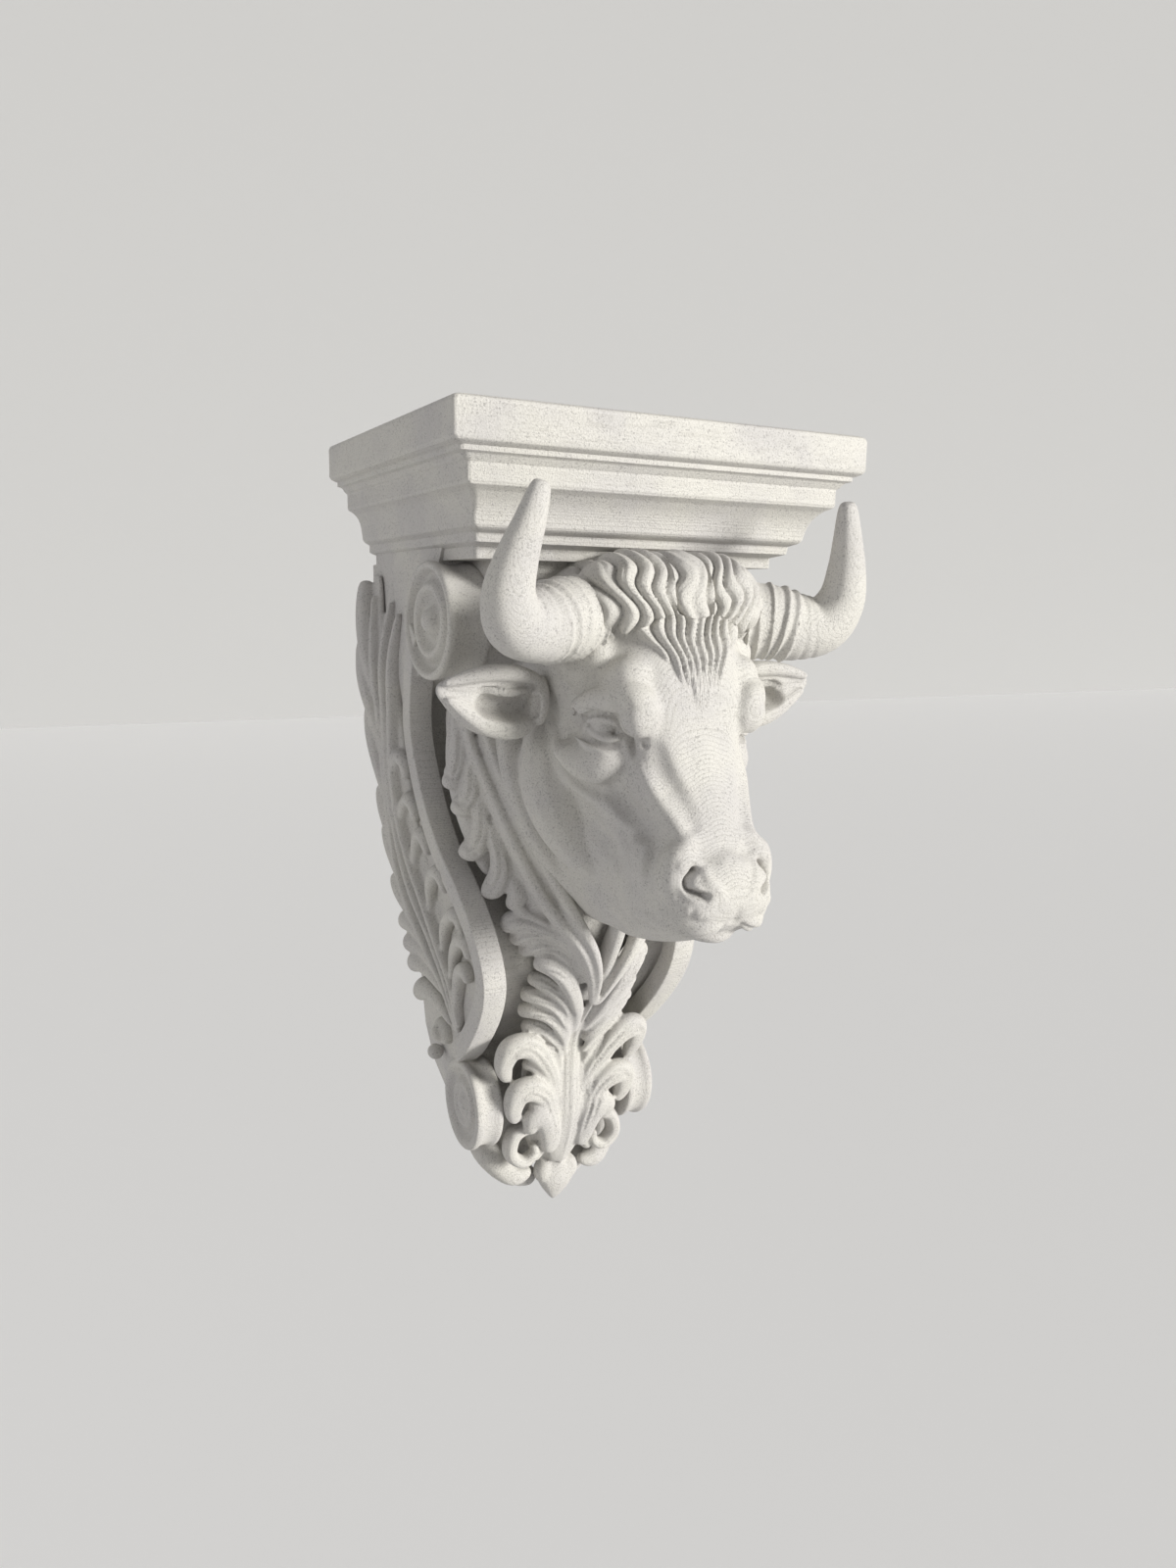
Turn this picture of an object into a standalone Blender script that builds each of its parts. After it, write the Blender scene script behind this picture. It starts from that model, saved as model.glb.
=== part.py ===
"""A small corbel printed in one piece: a moulded cap on a console with scrolled side bands,
acanthus leaves and a bull's head. The flat back goes against the wall.

Modelled in millimetres and turned into metres at the end. A place on the piece is given by
spot(across, out, down): across from the middle plane, out from the wall, down from the cap's top.
"""
import math

import bmesh
import bpy
import numpy as np
from mathutils import Matrix, Vector

METRE = 0.001           # one millimetre in metres

# driving dimensions
HEIGHT = 151.0          # cap top to the tip of the drop
TOP = HEIGHT / 2        # the origin is on the back, half way up
CAP_HALF = 37.5         # half the cap's width
CAP_OUT = 65.1          # the cap's reach from the wall
BACK = 2.0              # clay left behind the wall plane, cut off at the end
VOXEL = 0.55            # grain of the merged clay
SMOOTHING = 3           # passes that soften the grain
CLAY_TRIANGLES = 9000   # the clay's share before it is joined to the crisp pieces
TRIANGLES = 9300        # the whole faceted solid without its cap
CRUMB = 0.02            # edges shorter than this are dissolved

SHARP = math.radians(40)  # edges bent by more than this stay crisp
FRONT = Vector((0, -1, 0))
BOTH = (-1, 1)          # left and right of the middle plane

# the side bands: half width, out and down of their outer front edge
BAND_LINE = ((30.4, 25.5, 40), (29.0, 20.0, 48), (28.2, 18.8, 55), (27.0, 21.2, 65), (26.0, 26.0, 73),
             (24.9, 33.8, 80.5), (23.6, 38.2, 88), (22.3, 39.4, 96.5), (21.5, 35.6, 104.5),
             (20.9, 27.5, 113.5), (20.4, 20.5, 119))
BAND_WIDTH = 4.6
BAND_THICK = 4.2
SCROLL_STEPS = 20       # flats round a scroll
PANEL_SINK = 1.3        # the side panel lies this far behind the band's outer face

# the body behind the leaves, above and below the bands: down, half width, out
PANEL_TOP = ((14, 29.2, 42.0), (20, 29.2, 37.0), (30, 29.2, 36.0), (38, 29.2, 34.0), (43, 28.8, 22.0))
PANEL_DOWNS = (48, 55, 62, 70, 78, 86, 94, 102, 110, 118)
PANEL_END = ((126, 17.5, 20.0), (134, 14.5, 20.0), (141, 11.5, 18.0), (146, 8.0, 15.0), (149, 4.5, 12.0))
CHANNEL_SINK = 6.0      # the channel's floor lies this far behind the bands' front
CORE = ((15, 24.0, 50.0), (30, 24.0, 46.0), (38, 24.0, 42.0), (46, 23.0, 30.0))

# volutes: outer face, inner face, out, down, radius out and radius down
UPPER = dict(outer=31.5, inner=23.5, out=36.0, down=32.0, reach=11.5, radius=10.0)
LOWER = dict(outer=19.7, inner=13.8, out=21.2, down=127.3, reach=9.1, radius=9.1)
# the outer face of a volute: share of the radius, and how far it stands out
VOLUTE_FACE = ((0.17, 0.1), (0.27, -1.2), (0.45, -1.2), (0.53, -0.3), (0.66, -0.4), (0.72, -1.3),
               (0.81, -1.3), (0.86, -0.1), (0.95, 0.0), (1.0, -0.8), (0.98, -1.8))

# the cap's levels: inset at the sides, inset at the front, down
CAP_LEVELS = ((0.9, 0.9, 0.0), (0.25, 0.25, 0.25), (0, 0, 0.9), (0, 0, 5.8), (0.3, 0.3, 6.3),
              (1.0, 1.0, 6.6), (1.5, 1.5, 6.7), (1.5, 1.5, 7.5), (2.6, 2.6, 7.8), (2.8, 2.8, 8.4),
              (3.4, 3.4, 8.8), (3.4, 3.4, 11.4), (3.7, 3.7, 11.9), (4.4, 4.4, 12.2), (5.1, 5.4, 12.9),
              (5.8, 6.8, 14.2), (6.1, 7.8, 15.8), (6.3, 8.2, 17.2), (6.9, 9.0, 17.9), (7.6, 10.7, 18.2),
              (7.6, 10.9, 19.6), (9.0, 14.0, 20.2), (9.0, 14.0, 22.0))

# the side leaf, in out and down on the panel
MIDRIB = ((29, 105.4), (21, 97.5), (13, 90), (8.5, 81), (5.4, 73), (5.0, 62), (5.8, 50), (7.0, 24))
WALL_LOBES = (((27.5, 102.6), (19, 100.6), (12.5, 101.6), (7.5, 105.0)),
              ((23.5, 96), (14, 94.6), (7, 96), (2.2, 99.6)),
              ((19.4, 93.4), (11, 91.6), (6, 93), (1.6, 96.0)),
              ((15.5, 91), (9, 88), (4.5, 88), (1.6, 91.0)), ((15.5, 89), (8, 82), (3.4, 77), (1.6, 71.0)),
              ((13.5, 84), (9.5, 78), (6, 73), (3.4, 68.0)), ((6, 74), (3.6, 66), (1.8, 60), (1.6, 55.0)),
              ((5.6, 68), (3, 57), (1.6, 50), (1.6, 44.0)), ((6, 56), (3.4, 46), (1.8, 38), (1.6, 30.0)))
CURLS = (((3.4, 68), (6, 60), (11, 58), (12, 62.5)), ((4.4, 76), (7.6, 69.5), (12.6, 67.4), (15.4, 70)),
         ((9, 81), (12.6, 75), (18, 73), (20, 76.4)), ((14, 89), (17.4, 83), (23.4, 79.8), (26, 82.8)),
         ((17, 95.5), (22.2, 88.6), (28, 86.2), (29.8, 88.8)),
         ((22.5, 102.5), (25.9, 94.5), (30.6, 91.6), (32.4, 94)))
KNOBS = ((14.6, 113.5, 3.0), (9.5, 120.5, 2.2))     # out, down and radius
PANEL_FLARE = 2.6       # the leaf stands this much further out where it meets the wall

# the head's level sections: down, front, half nose, half cheek, cheek's out
HEAD = ((20, 52, 7, 12, 44), (24, 61.5, 8, 14.5, 48), (30, 68.4, 8.5, 15.6, 53), (36, 71.4, 8.8, 16, 56),
        (42, 73, 8.8, 15.6, 56), (48, 73.6, 8, 14.5, 54), (54, 75.6, 7.4, 14.6, 51),
        (60, 78.2, 6.9, 14.2, 50),
        (65, 80.6, 6.8, 12.6, 52), (70, 84, 7.2, 10.8, 57), (75, 84.4, 6.8, 9.2, 61),
        (80, 79.0, 5.5, 7.6, 62),
        (85, 68, 4, 5, 56))

# rolls of clay on each half of the head: places (across, out, down), widths and heights
FACE_ROLLS = (
    # brow, and the forehead that it grows from
    (((9.3, 71.9, 48.2), (9.2, 72.2, 45.4), (10.6, 71.3, 42.6), (13.2, 67.4, 42.2), (15.4, 61.4, 43.8)),
     (1.7, 2.6, 2.7, 1.9, 0.9), (1.5, 2.3, 2.3, 1.7, 0.9)),
    (((6.4, 69.0, 39.0), (9.8, 68.0, 39.8), (12.8, 63.6, 41.2)), (2.4, 3.6, 2.6), (2.0, 3.4, 2.4)),
    # the swelling under the eye, the cheek bone, and the ridge beside the nose
    (((16.0, 57.0, 51.0), (14.2, 61.6, 52.6), (12.0, 65.4, 53.2), (10.0, 67.8, 53.0)),
     (2.0, 3.2, 3.3, 2.0), (1.5, 2.2, 2.2, 1.4)),
    (((15.2, 51.0, 46.0), (14.2, 53.6, 52.6), (13.2, 58.0, 56.8), (11.0, 64.4, 60.0), (9.4, 69.4, 63.0)),
     (1.6, 2.2, 2.3, 2.1, 1.6), (1.0, 1.5, 1.7, 1.5, 1.2)),
    (((9.6, 70.0, 52.4), (8.2, 71.8, 55.4), (6.8, 73.8, 58.4), (5.6, 77.0, 62.0), (5.8, 79.4, 65.0)),
     (1.3, 1.8, 2.0, 1.8, 1.6), (0.9, 1.3, 1.4, 1.3, 1.2)),
    # jaw
    (((12.6, 46.0, 44.0), (11.6, 49.0, 56.0), (9.0, 53.0, 66.0), (5.2, 58.0, 75.0)),
     (5.0, 8.4, 8.0, 5.0), (4.6, 6.6, 6.0, 4.6)),
    # wing of the nostril
    (((4.8, 79.4, 63.0), (6.8, 78.2, 66.4), (7.3, 78.0, 70.6), (5.2, 79.8, 74.0)),
     (2.0, 3.0, 3.1, 2.4), (2.0, 3.1, 3.5, 2.6)),
    # upper lip
    (((1.4, 82.9, 75.5), (4.4, 81.6, 76.0), (7.0, 77.0, 76.3), (7.9, 69.0, 75.6)),
     (1.6, 2.1, 2.2, 1.8), (1.4, 1.8, 2.0, 1.6)),
    # edge of the neck
    (((18.6, 40.0, 44.0), (17.6, 41.5, 56.0), (13.6, 43.5, 68.0), (8.0, 46.0, 77.0), (2.0, 48.0, 85.0)),
     (2.4, 3.2, 3.2, 2.6, 1.6), (2.4, 3.2, 3.2, 2.8, 1.6)))
# eggs of clay on each half: centre and radii
FACE_BALLS = (((6.5, 62.2, 28.6), (8.2, 6.6, 6.4)), ((12.6, 58.0, 36.0), (4.4, 8.0, 7.0)),
              ((12.0, 61.8, 48.2), (3.0, 4.6, 3.0)), ((12.4, 64.6, 47.3), (2.0, 2.8, 1.6)),
              ((9.0, 71.6, 67.6), (2.2, 3.6, 4.6)), ((5.4, 76.6, 74.4), (3.9, 6.0, 3.3)))
NOSE = ((0, 70.0, 44.0), (0, 72.2, 52.0), (0, 76.0, 60.0), (0, 79.2, 66.0))
NOSE_WIDTHS = (6.4, 5.8, 4.8, 4.6)
NOSE_HEIGHTS = (3.2, 2.9, 2.6, 2.6)
MUZZLE = ((0, 76.4, 71.0), (8.4, 8.0, 7.4))
LOWER_LIP = ((-6.0, 74.5, 77.7), (0, 79.0, 78.4), (6.0, 74.5, 77.7))
LOWER_LIP_RADII = (1.4, 1.6, 1.4)

MIDDLE_LOCK = ((0, 54, 21.5), (0, 64.2, 24.5), (0, 69.4, 28.5), (0, 71.6, 32.5), (0, 72.6, 37),
               (0, 72.2, 42.6))
LOCKS = (((4.5, 54, 21.5), (4.1, 64.4, 24.5), (3.6, 68.8, 28.5), (3.0, 71.2, 32.5), (2.4, 72.6, 37.0)),
         ((9.0, 52, 21.5), (8.4, 63.4, 24.2), (7.4, 67.8, 28.0), (6.4, 70.2, 31.5), (5.4, 71.6, 35.5)),
         ((13.6, 50, 21.5), (12.6, 61.0, 23.6), (11.2, 65.6, 26.8), (9.8, 67.8, 29.8), (8.6, 69.4, 32.6)))
LOCK_WIDTHS = (1.9, 2.1, 2.0, 1.6, 0.7)

HORN = ((11, 58.5, 31.0), (15.6, 60.6, 31.1), (19.8, 62.6, 31.2), (24.2, 64.3, 32.0), (28.4, 66.3, 31.4),
        (30.4, 68.2, 27.6), (29.9, 69.8, 22.6), (28.6, 71.2, 17.6), (27.2, 72.4, 11.9))
HORN_RADII = (6.6, 6.5, 6.2, 5.7, 4.9, 4.0, 3.2, 2.5, 1.9)
HORN_RINGS = 5
RING_START, RING_STEP = 0.13, 0.052     # along the horn's line
RING_RADIUS, RING_TAPER, RING_THICK = 7.1, 0.17, 0.9
EAR = ((16.5, 50.5, 44.8), (23, 51.8, 44.6), (29, 53.0, 43.6), (36.8, 54.0, 41.5))
EAR_WIDTHS = (2.8, 5.6, 5.2, 1.2)
EAR_HEIGHTS = (2.2, 2.7, 2.3, 0.9)
EAR_ROOT = ((17.8, 51.5, 44.6), (2.4, 3.0, 4.6))

# the leaves in front
RIBS = (((25.2, 32, 45), (22.8, 35.2, 57), (18.8, 38, 69), (13.2, 40.5, 78.5), (7.2, 42.4, 88),
         (2.8, 41.6, 97),
         (0.7, 39.0, 103.5)),
        ((23.0, 33, 45), (20.5, 36.2, 57), (16.5, 39, 69), (11.0, 41.5, 78.5), (5.2, 43.4, 88),
         (1.4, 42.6, 97),
         (0.7, 39.0, 103.5)))
RIB_WIDTHS = (1.0, 1.2, 1.3, 1.4, 1.4, 1.1, 0.7)
RIB_HEIGHTS = (2.0, 2.6, 2.6, 2.4, 2.2, 1.7, 0.8)
RIB_BODY = ((22.0, 25.0, 50), (18.5, 30.0, 66), (11.0, 35.0, 82), (4.0, 36.5, 97))
HUSKS = (((25.6, 27.5, 48), (25.2, 27.0, 59.6), 1.7), ((24.6, 29.0, 52), (23.2, 28.5, 64.0), 1.6),
         ((23.6, 30.0, 56), (21.8, 29.0, 71.5), 2.1), ((21.5, 31.5, 64), (18.0, 32.5, 80.0), 1.9))
HUSK_BULGE = 0.8
# lobes of a leaf: tip, bend and root
LOBES = (((16.6, 37.8, 85.8), (11.3, 40.1, 89.1), (6.0, 40.5, 96)), ((14.6, 38.8, 89.0), (10, 40.6, 91.2),
                                                                     (5.4, 40.5, 97)),
         ((12.4, 39.8, 91.6), (8.6, 41.1, 93), (4.8, 40.3, 98)), ((9.6, 38.0, 94.5), (6.0, 40.8, 95.5),
                                                                  (1.8, 38.5, 106)),
         ((11.6, 35.6, 98.0), (8.0, 38.0, 98.5), (2.2, 36.0, 110)), ((11.8, 33.8, 102.4), (8.0, 36.4, 103),
                                                                     (2.6, 34.0, 113)),
         ((10.6, 32.4, 107.0), (7.4, 34.6, 107.5), (2.6, 32.4, 116)))
LOBE_WIDTHS = (1.9, 1.7, 0.8)
LOBE_HEIGHTS = (1.7, 1.9, 1.3)
CHIN_LOBES = (((6.4, 50.6, 83.5), (3.6, 49.0, 87.0), (0.8, 43.0, 99)), ((8.4, 45.0, 90.0), (5.2, 44.6, 91.5),
                                                                        (1.0, 40.5, 102)),
              ((8.6, 41.0, 95.0), (5.4, 41.6, 96.5), (1.2, 38.0, 105)))
CHIN_WIDTHS = (1.6, 1.7, 0.9)
CHIN_HEIGHTS = (1.6, 1.8, 1.4)
HOOKS = (((13.6, 29.8, 118.0), (11.8, 32.4, 112.6), (4.0, 29.8, 122)),
         ((12.6, 27.6, 126.6), (11.6, 31.2, 121.0), (4.0, 29.8, 130)),
         ((10.4, 27.6, 132.4), (9.2, 30.0, 128.4), (3.6, 29.2, 136)))
HOOK_WIDTHS = (1.7, 2.0, 1.0)
HOOK_HEIGHTS = (1.7, 2.2, 1.5)
STEMS = (((0.8, 37.0, 103), (1.0, 31.6, 112), (0.95, 30.4, 121), (0.8, 30.6, 131), (0.45, 27.4, 141)),
         ((2.4, 36.7, 103), (3.0, 31.3, 112), (2.85, 30.1, 121), (2.4, 30.3, 131), (1.35, 27.1, 141)),
         ((4.1, 36.0, 103), (5.1, 30.6, 112), (4.85, 29.4, 121), (4.1, 29.6, 131), (2.3, 26.4, 141)))
STEM_WIDTHS = (0.7, 0.95, 1.0, 0.95, 0.6)
STEM_HEIGHTS = (1.4, 1.6, 1.6, 1.5, 1.0)
# the curl beside the drop: angle and radius about its centre
CURL_CENTRE = (8.6, 26.4, 137.6)
CURL_TURNS = ((-2.4, 4.6), (-1.2, 4.4), (0.0, 4.2), (1.2, 4.0), (2.4, 3.6), (3.6, 2.8), (4.8, 1.8))
CURL_WIDTHS = (1.5, 1.6, 1.6, 1.5, 1.4, 1.2, 1.0)
CURL_HEIGHTS = (2.6, 2.6, 2.6, 2.4, 2.2, 2.0, 1.8)
UNDER_CURL = ((12.6, 14, 135), (11.5, 20, 139), (6.5, 23, 144), (0, 23, 147))
LEAF_FLOOR = ((0, 40, 84), (0, 36, 98), (0, 28.5, 110), (0, 26.5, 121), (0, 26.5, 132), (0, 22, 144))
DROP = ((0, 23.0, 141.5), (0, 23.6, 147), (0, 22.6, 151.4))

# hollows pressed into the skin on each half: places, radius and push (outwards, into the body)
HOLLOWS = (
    (((21.0, 54.0, 44.4), (25, 54.8, 44.4), (30, 55.2, 43.0)), 3.8, (0, 3.4)),
    (((6.2, 80.9, 67.2), (6.4, 80.2, 69.0), (5.7, 80.8, 70.8), (4.2, 82.6, 71.8)), 2.0, (0, 3.6)),
    (((10.6, 67.9, 48.0), (10.1, 68.2, 49.8), (9.4, 69.4, 51.8)), 1.6, (-0.6, 1.7)),
    (((11.6, 67.0, 59.0), (10.2, 70.0, 62.0), (8.8, 73.0, 64.4)), 3.2, (-0.8, 0.5)),
    (((7.6, 72.4, 50.5), (6.9, 74.2, 54.6), (5.6, 76.0, 57.6), (4.6, 78.4, 61.0)), 2.6, (-0.5, 0.6)))
LIP_GAP = ((-7.8, 68.0, 77.9), (-6.4, 80.0, 77.8), (-1.0, 83.8, 76.9), (1.0, 83.8, 76.9), (6.4, 80.0, 77.8),
           (7.8, 68.0, 77.9))
LIP_PARTING = ((0, 85.2, 73.0), (0, 84.6, 76.6))
LIP_RADIUS = 1.3
LIP_PUSH = (0, 1.0, 0)

PLASTIC = (0.62, 0.60, 0.59, 1)
ROUGHNESS = 0.6


def spot(across, out, down):
    """Return the place of a point given across, out from the wall and down from the cap's top."""
    return Vector((across, -out, TOP - down))


def blend(values, along):
    """Return the value at along, 0 to 1, of a smooth line through evenly spaced values."""
    last = len(values) - 1
    place = min(max(along, 0.0), 1.0) * last
    index = min(int(place), last - 1)
    t = place - index
    a, b, c, d = (values[min(max(index + k, 0), last)] for k in (-1, 0, 1, 2))
    square = (a * 2 - b * 5 + c * 4 - d) * t * t
    cube = (b * 3 - a - c * 3 + d) * t ** 3
    return 0.5 * (b * 2 + (c - a) * t + square + cube)


def route(points, along):
    """Return the place and direction at along, 0 to 1, of a smooth line through the points."""
    step = 0.01
    ahead = blend(points, min(along + step, 1)) - blend(points, max(along - step, 0))
    return blend(points, along), ahead.normalized()


def spots(side, line):
    """Return the places of a line given as (across, out, down), mirrored to one side."""
    return [spot(side * across, out, down) for across, out, down in line]


def add(clay, lump):
    """Add a lump to the clay. Each lump is made on its own, which is much quicker than in the clay."""
    mesh = bpy.data.meshes.new("lump")
    lump.to_mesh(mesh)
    lump.free()
    clay.from_mesh(mesh)
    bpy.data.meshes.remove(mesh)


def ball(clay, centre, radii, turn=None):
    """Add an egg of clay."""
    lump = bmesh.new()
    place = Matrix.Translation(centre) @ (turn or Matrix()) @ Matrix.Diagonal((*radii, 1))
    bmesh.ops.create_uvsphere(lump, u_segments=24, v_segments=16, radius=1, matrix=place)
    add(clay, lump)


def stroke(clay, points, widths, heights, face=FRONT, blunt=2.4, rings=24):
    """Lay a roll of clay along the points, as wide and as high as the lists say on the way."""
    lump = bmesh.new()
    bmesh.ops.create_uvsphere(lump, u_segments=12, v_segments=rings, radius=1)
    for vert in lump.verts:
        lengthwise = max(-1.0, min(1.0, vert.co.z))
        place, ahead = route(points, (lengthwise + 1) / 2)
        side = ahead.cross(face).normalized()
        up = side.cross(ahead)
        ring = math.sqrt(max(1 - lengthwise ** 2, 1e-9))
        full = max(1 - abs(lengthwise) ** blunt, 0) ** (1 / blunt) / ring
        wide = blend(widths, (lengthwise + 1) / 2) * full
        high = blend(heights, (lengthwise + 1) / 2) * full
        vert.co = place + side * vert.co.x * wide + up * vert.co.y * high
    add(clay, lump)


def loft(clay, loops):
    """Join rings of places, all with the same count, into one closed body."""
    rings = []
    for loop in loops:
        verts = [clay.verts.new(place) for place in loop]
        rings.append([clay.edges.new((verts[k], verts[k - 1])) for k in range(len(verts))])
    for lower, upper in zip(rings, rings[1:]):
        bmesh.ops.bridge_loops(clay, edges=lower + upper)
    for end in (rings[0], rings[-1]):
        bmesh.ops.contextual_create(clay, geom=end)


def band_at(down):
    """Return half width and out of the band's outer front edge at a level."""
    levels = [point[2] for point in BAND_LINE]
    halves = [point[0] for point in BAND_LINE]
    outs = [point[1] for point in BAND_LINE]
    return float(np.interp(down, levels, halves)), float(np.interp(down, levels, outs))


def console():
    """The body behind the leaves: side panels and channel floor, and a core between the upper scrolls."""
    panels = list(PANEL_TOP)
    for down in PANEL_DOWNS:
        half, out = band_at(down)
        panels.append((down, half - PANEL_SINK, out - CHANNEL_SINK))
    panels += PANEL_END
    for levels, name in ((panels, "console"), (CORE, "core")):
        loops = []
        for down, half, out in levels:
            corners = ((-half, -BACK), (half, -BACK), (half, out), (-half, out))
            loops.append([spot(across, reach, down) for across, reach in corners])
        shape = bmesh.new()
        loft(shape, loops)
        yield stand(shape, name)


def band(clay, side):
    """One scrolled side band: a strap with a flat front that runs in an S down to the lower scroll."""
    points = [Vector(point) for point in BAND_LINE]
    loops = []
    for step in range(37):
        along = step / 36
        half, out, down = blend(points, along)
        _, ahead = route(points, along)
        inward = Vector((0, -ahead.z, ahead.y)).normalized() * BAND_THICK
        loop = []
        for across, depth in ((half, 0), (half - BAND_WIDTH, 0), (half - BAND_WIDTH, 1), (half, 1)):
            loop.append(spot(side * across, out + inward.y * depth, down + inward.z * depth))
        loops.append(loop)
    loft(clay, loops)


def scroll(clay, side, outer, inner, out, down, reach, radius):
    """A volute: a spool lying across, with a rim, a raised ring and a boss on its outer face."""
    wide = outer - inner
    barrel = ((0.91, -wide / 2), (0.98, 1.4 - wide), (0.97, -wide))
    rings = []
    for distance, step in VOLUTE_FACE + barrel:
        ring = []
        for index in range(SCROLL_STEPS):
            angle = math.tau * index / SCROLL_STEPS
            ring.append(spot(side * (outer + step), out + reach * distance * math.cos(angle),
                             down + radius * distance * math.sin(angle)))
        rings.append(ring)
    loft(clay, rings)


def section(level, across_share):
    """Return across and out of the head's outline at one level, from the front, 0, to the back, 1."""
    front, nose, cheek, cheek_out = level
    points = [Vector(place) for place in (
        (0, front), (nose * 0.72, front - 0.5), (nose * 1.18, front - 4.0),
        ((nose * 1.18 + cheek) / 2 + 0.9, (front - 4 + cheek_out) / 2 + 1.2), (cheek, cheek_out),
        (cheek + 1.6, cheek_out - 12), (cheek * 0.9, 20), (0, 10))]
    return blend(points, across_share)


def skull(clay):
    """The bull's head and neck as one closed body, level by level."""
    levels = [Vector(level[1:]) for level in HEAD]
    downs = [level[0] for level in HEAD]
    lump = bmesh.new()
    bmesh.ops.create_uvsphere(lump, u_segments=64, v_segments=48, radius=1)
    for vert in lump.verts:
        height = max(-1.0, min(1.0, vert.co.z))
        lengthwise = (1 - height) / 2
        level = blend(levels, lengthwise)
        ring = math.sqrt(max(1 - height ** 2, 1e-9))
        full = max(1 - abs(height) ** 7, 0) ** (1 / 3)
        angle = math.atan2(vert.co.x, -vert.co.y)
        across, out = section(level, abs(angle) / math.pi)
        middle = (level[0] + 26) / 2
        if ring < 0.01:
            across, out = 0, middle
        vert.co = spot(math.copysign(across, angle) * full, middle + (out - middle) * full,
                       blend(downs, lengthwise))
    add(clay, lump)


def face_forms(clay):
    """The forms that stand out of the skull, from brow to lips."""
    for side in BOTH:
        for line, widths, heights in FACE_ROLLS:
            stroke(clay, spots(side, line), widths, heights)
        for (across, out, down), radii in FACE_BALLS:
            ball(clay, spot(side * across, out, down), radii)
    stroke(clay, spots(1, NOSE), NOSE_WIDTHS, NOSE_HEIGHTS)
    centre, radii = MUZZLE
    ball(clay, spot(*centre), radii)
    stroke(clay, spots(1, LOWER_LIP), LOWER_LIP_RADII, LOWER_LIP_RADII)


def horn(clay, side):
    """A ringed horn that leaves the head sideways and sweeps up to a blunt tip."""
    line = spots(side, HORN)
    stroke(clay, line, HORN_RADII, HORN_RADII, blunt=5, rings=40)
    for ring in range(HORN_RINGS):
        place, ahead = route(line, RING_START + RING_STEP * ring)
        turn = ahead.to_track_quat("Z", "Y").to_matrix().to_4x4()
        radius = RING_RADIUS - RING_TAPER * ring
        ball(clay, place, (radius, radius, RING_THICK), turn)


def ear(clay, side):
    """A leaf-shaped ear held out sideways, its hollow facing forward."""
    stroke(clay, spots(side, EAR), EAR_WIDTHS, EAR_HEIGHTS, blunt=2.2, rings=30)
    (across, out, down), radii = EAR_ROOT
    ball(clay, spot(side * across, out, down), radii)


def forelock(clay):
    """Locks that fall from under the cap and draw together towards a point between the brows."""
    stroke(clay, spots(1, MIDDLE_LOCK), LOCK_WIDTHS, LOCK_WIDTHS)
    for side in BOTH:
        for line in LOCKS:
            stroke(clay, spots(side, line), LOCK_WIDTHS, LOCK_WIDTHS)


def rib_leaves(clay, side):
    """The long ribs beside the neck with their hanging husks."""
    for rib in RIBS:
        stroke(clay, spots(side, rib), RIB_WIDTHS, RIB_HEIGHTS, blunt=4, rings=32)
    stroke(clay, spots(side, RIB_BODY), [3.0, 4.5, 5.0, 3.0], [6.0, 6.5, 6.0, 4.0])
    for start, end, size in HUSKS:
        top, bottom = spots(side, (start, end))
        middle = (top + bottom) / 2 + FRONT * HUSK_BULGE
        stroke(clay, [top, middle, bottom], [0.8, size * 0.7, size * 1.15], [1.2, size * 0.9, size * 1.1],
               blunt=3)


def middle_leaf(clay, side):
    """The acanthus under the chin and the lower palm, half of it on each side."""
    for lobes, widths, heights in ((LOBES, LOBE_WIDTHS, LOBE_HEIGHTS),
                                   (CHIN_LOBES, CHIN_WIDTHS, CHIN_HEIGHTS),
                                   (HOOKS, HOOK_WIDTHS, HOOK_HEIGHTS)):
        for lobe in lobes:
            stroke(clay, spots(side, lobe), widths, heights, blunt=3)
    for stem in STEMS:
        stroke(clay, spots(side, stem), STEM_WIDTHS, STEM_HEIGHTS, blunt=4, rings=30)
    across, out, down = CURL_CENTRE
    curl = [(across + radius * math.sin(angle), out, down - radius * math.cos(angle)) for angle,
            radius in CURL_TURNS]
    stroke(clay, spots(side, curl), CURL_WIDTHS, CURL_HEIGHTS, blunt=5, rings=32)
    stroke(clay, spots(side, UNDER_CURL), [2.6, 3.6, 3.2, 2.4], [3.0, 4.0, 3.6, 3.0])


def floor_of_leaf(clay):
    """The leaf's thickness under its ribs, and the drop at the bottom."""
    stroke(clay, spots(1, LEAF_FLOOR), [7.0, 9.0, 8.6, 9.2, 9.4, 6.0], [5.0, 4.6, 3.4, 3.2, 3.2, 2.6],
           blunt=3)
    stroke(clay, spots(1, DROP), [2.6, 4.6, 1.2], [3.0, 4.2, 1.2], blunt=2.2)


def on_panel(side, out, down, rise=0.0):
    """Return a place on a side panel, whose leaf flares outwards as it nears the wall."""
    half, _ = band_at(min(max(down, 41), 118))
    flare = PANEL_FLARE * max(0.0, 1 - out / 14)
    return spot(side * (half - 0.7 + flare + rise), out, down)


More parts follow.
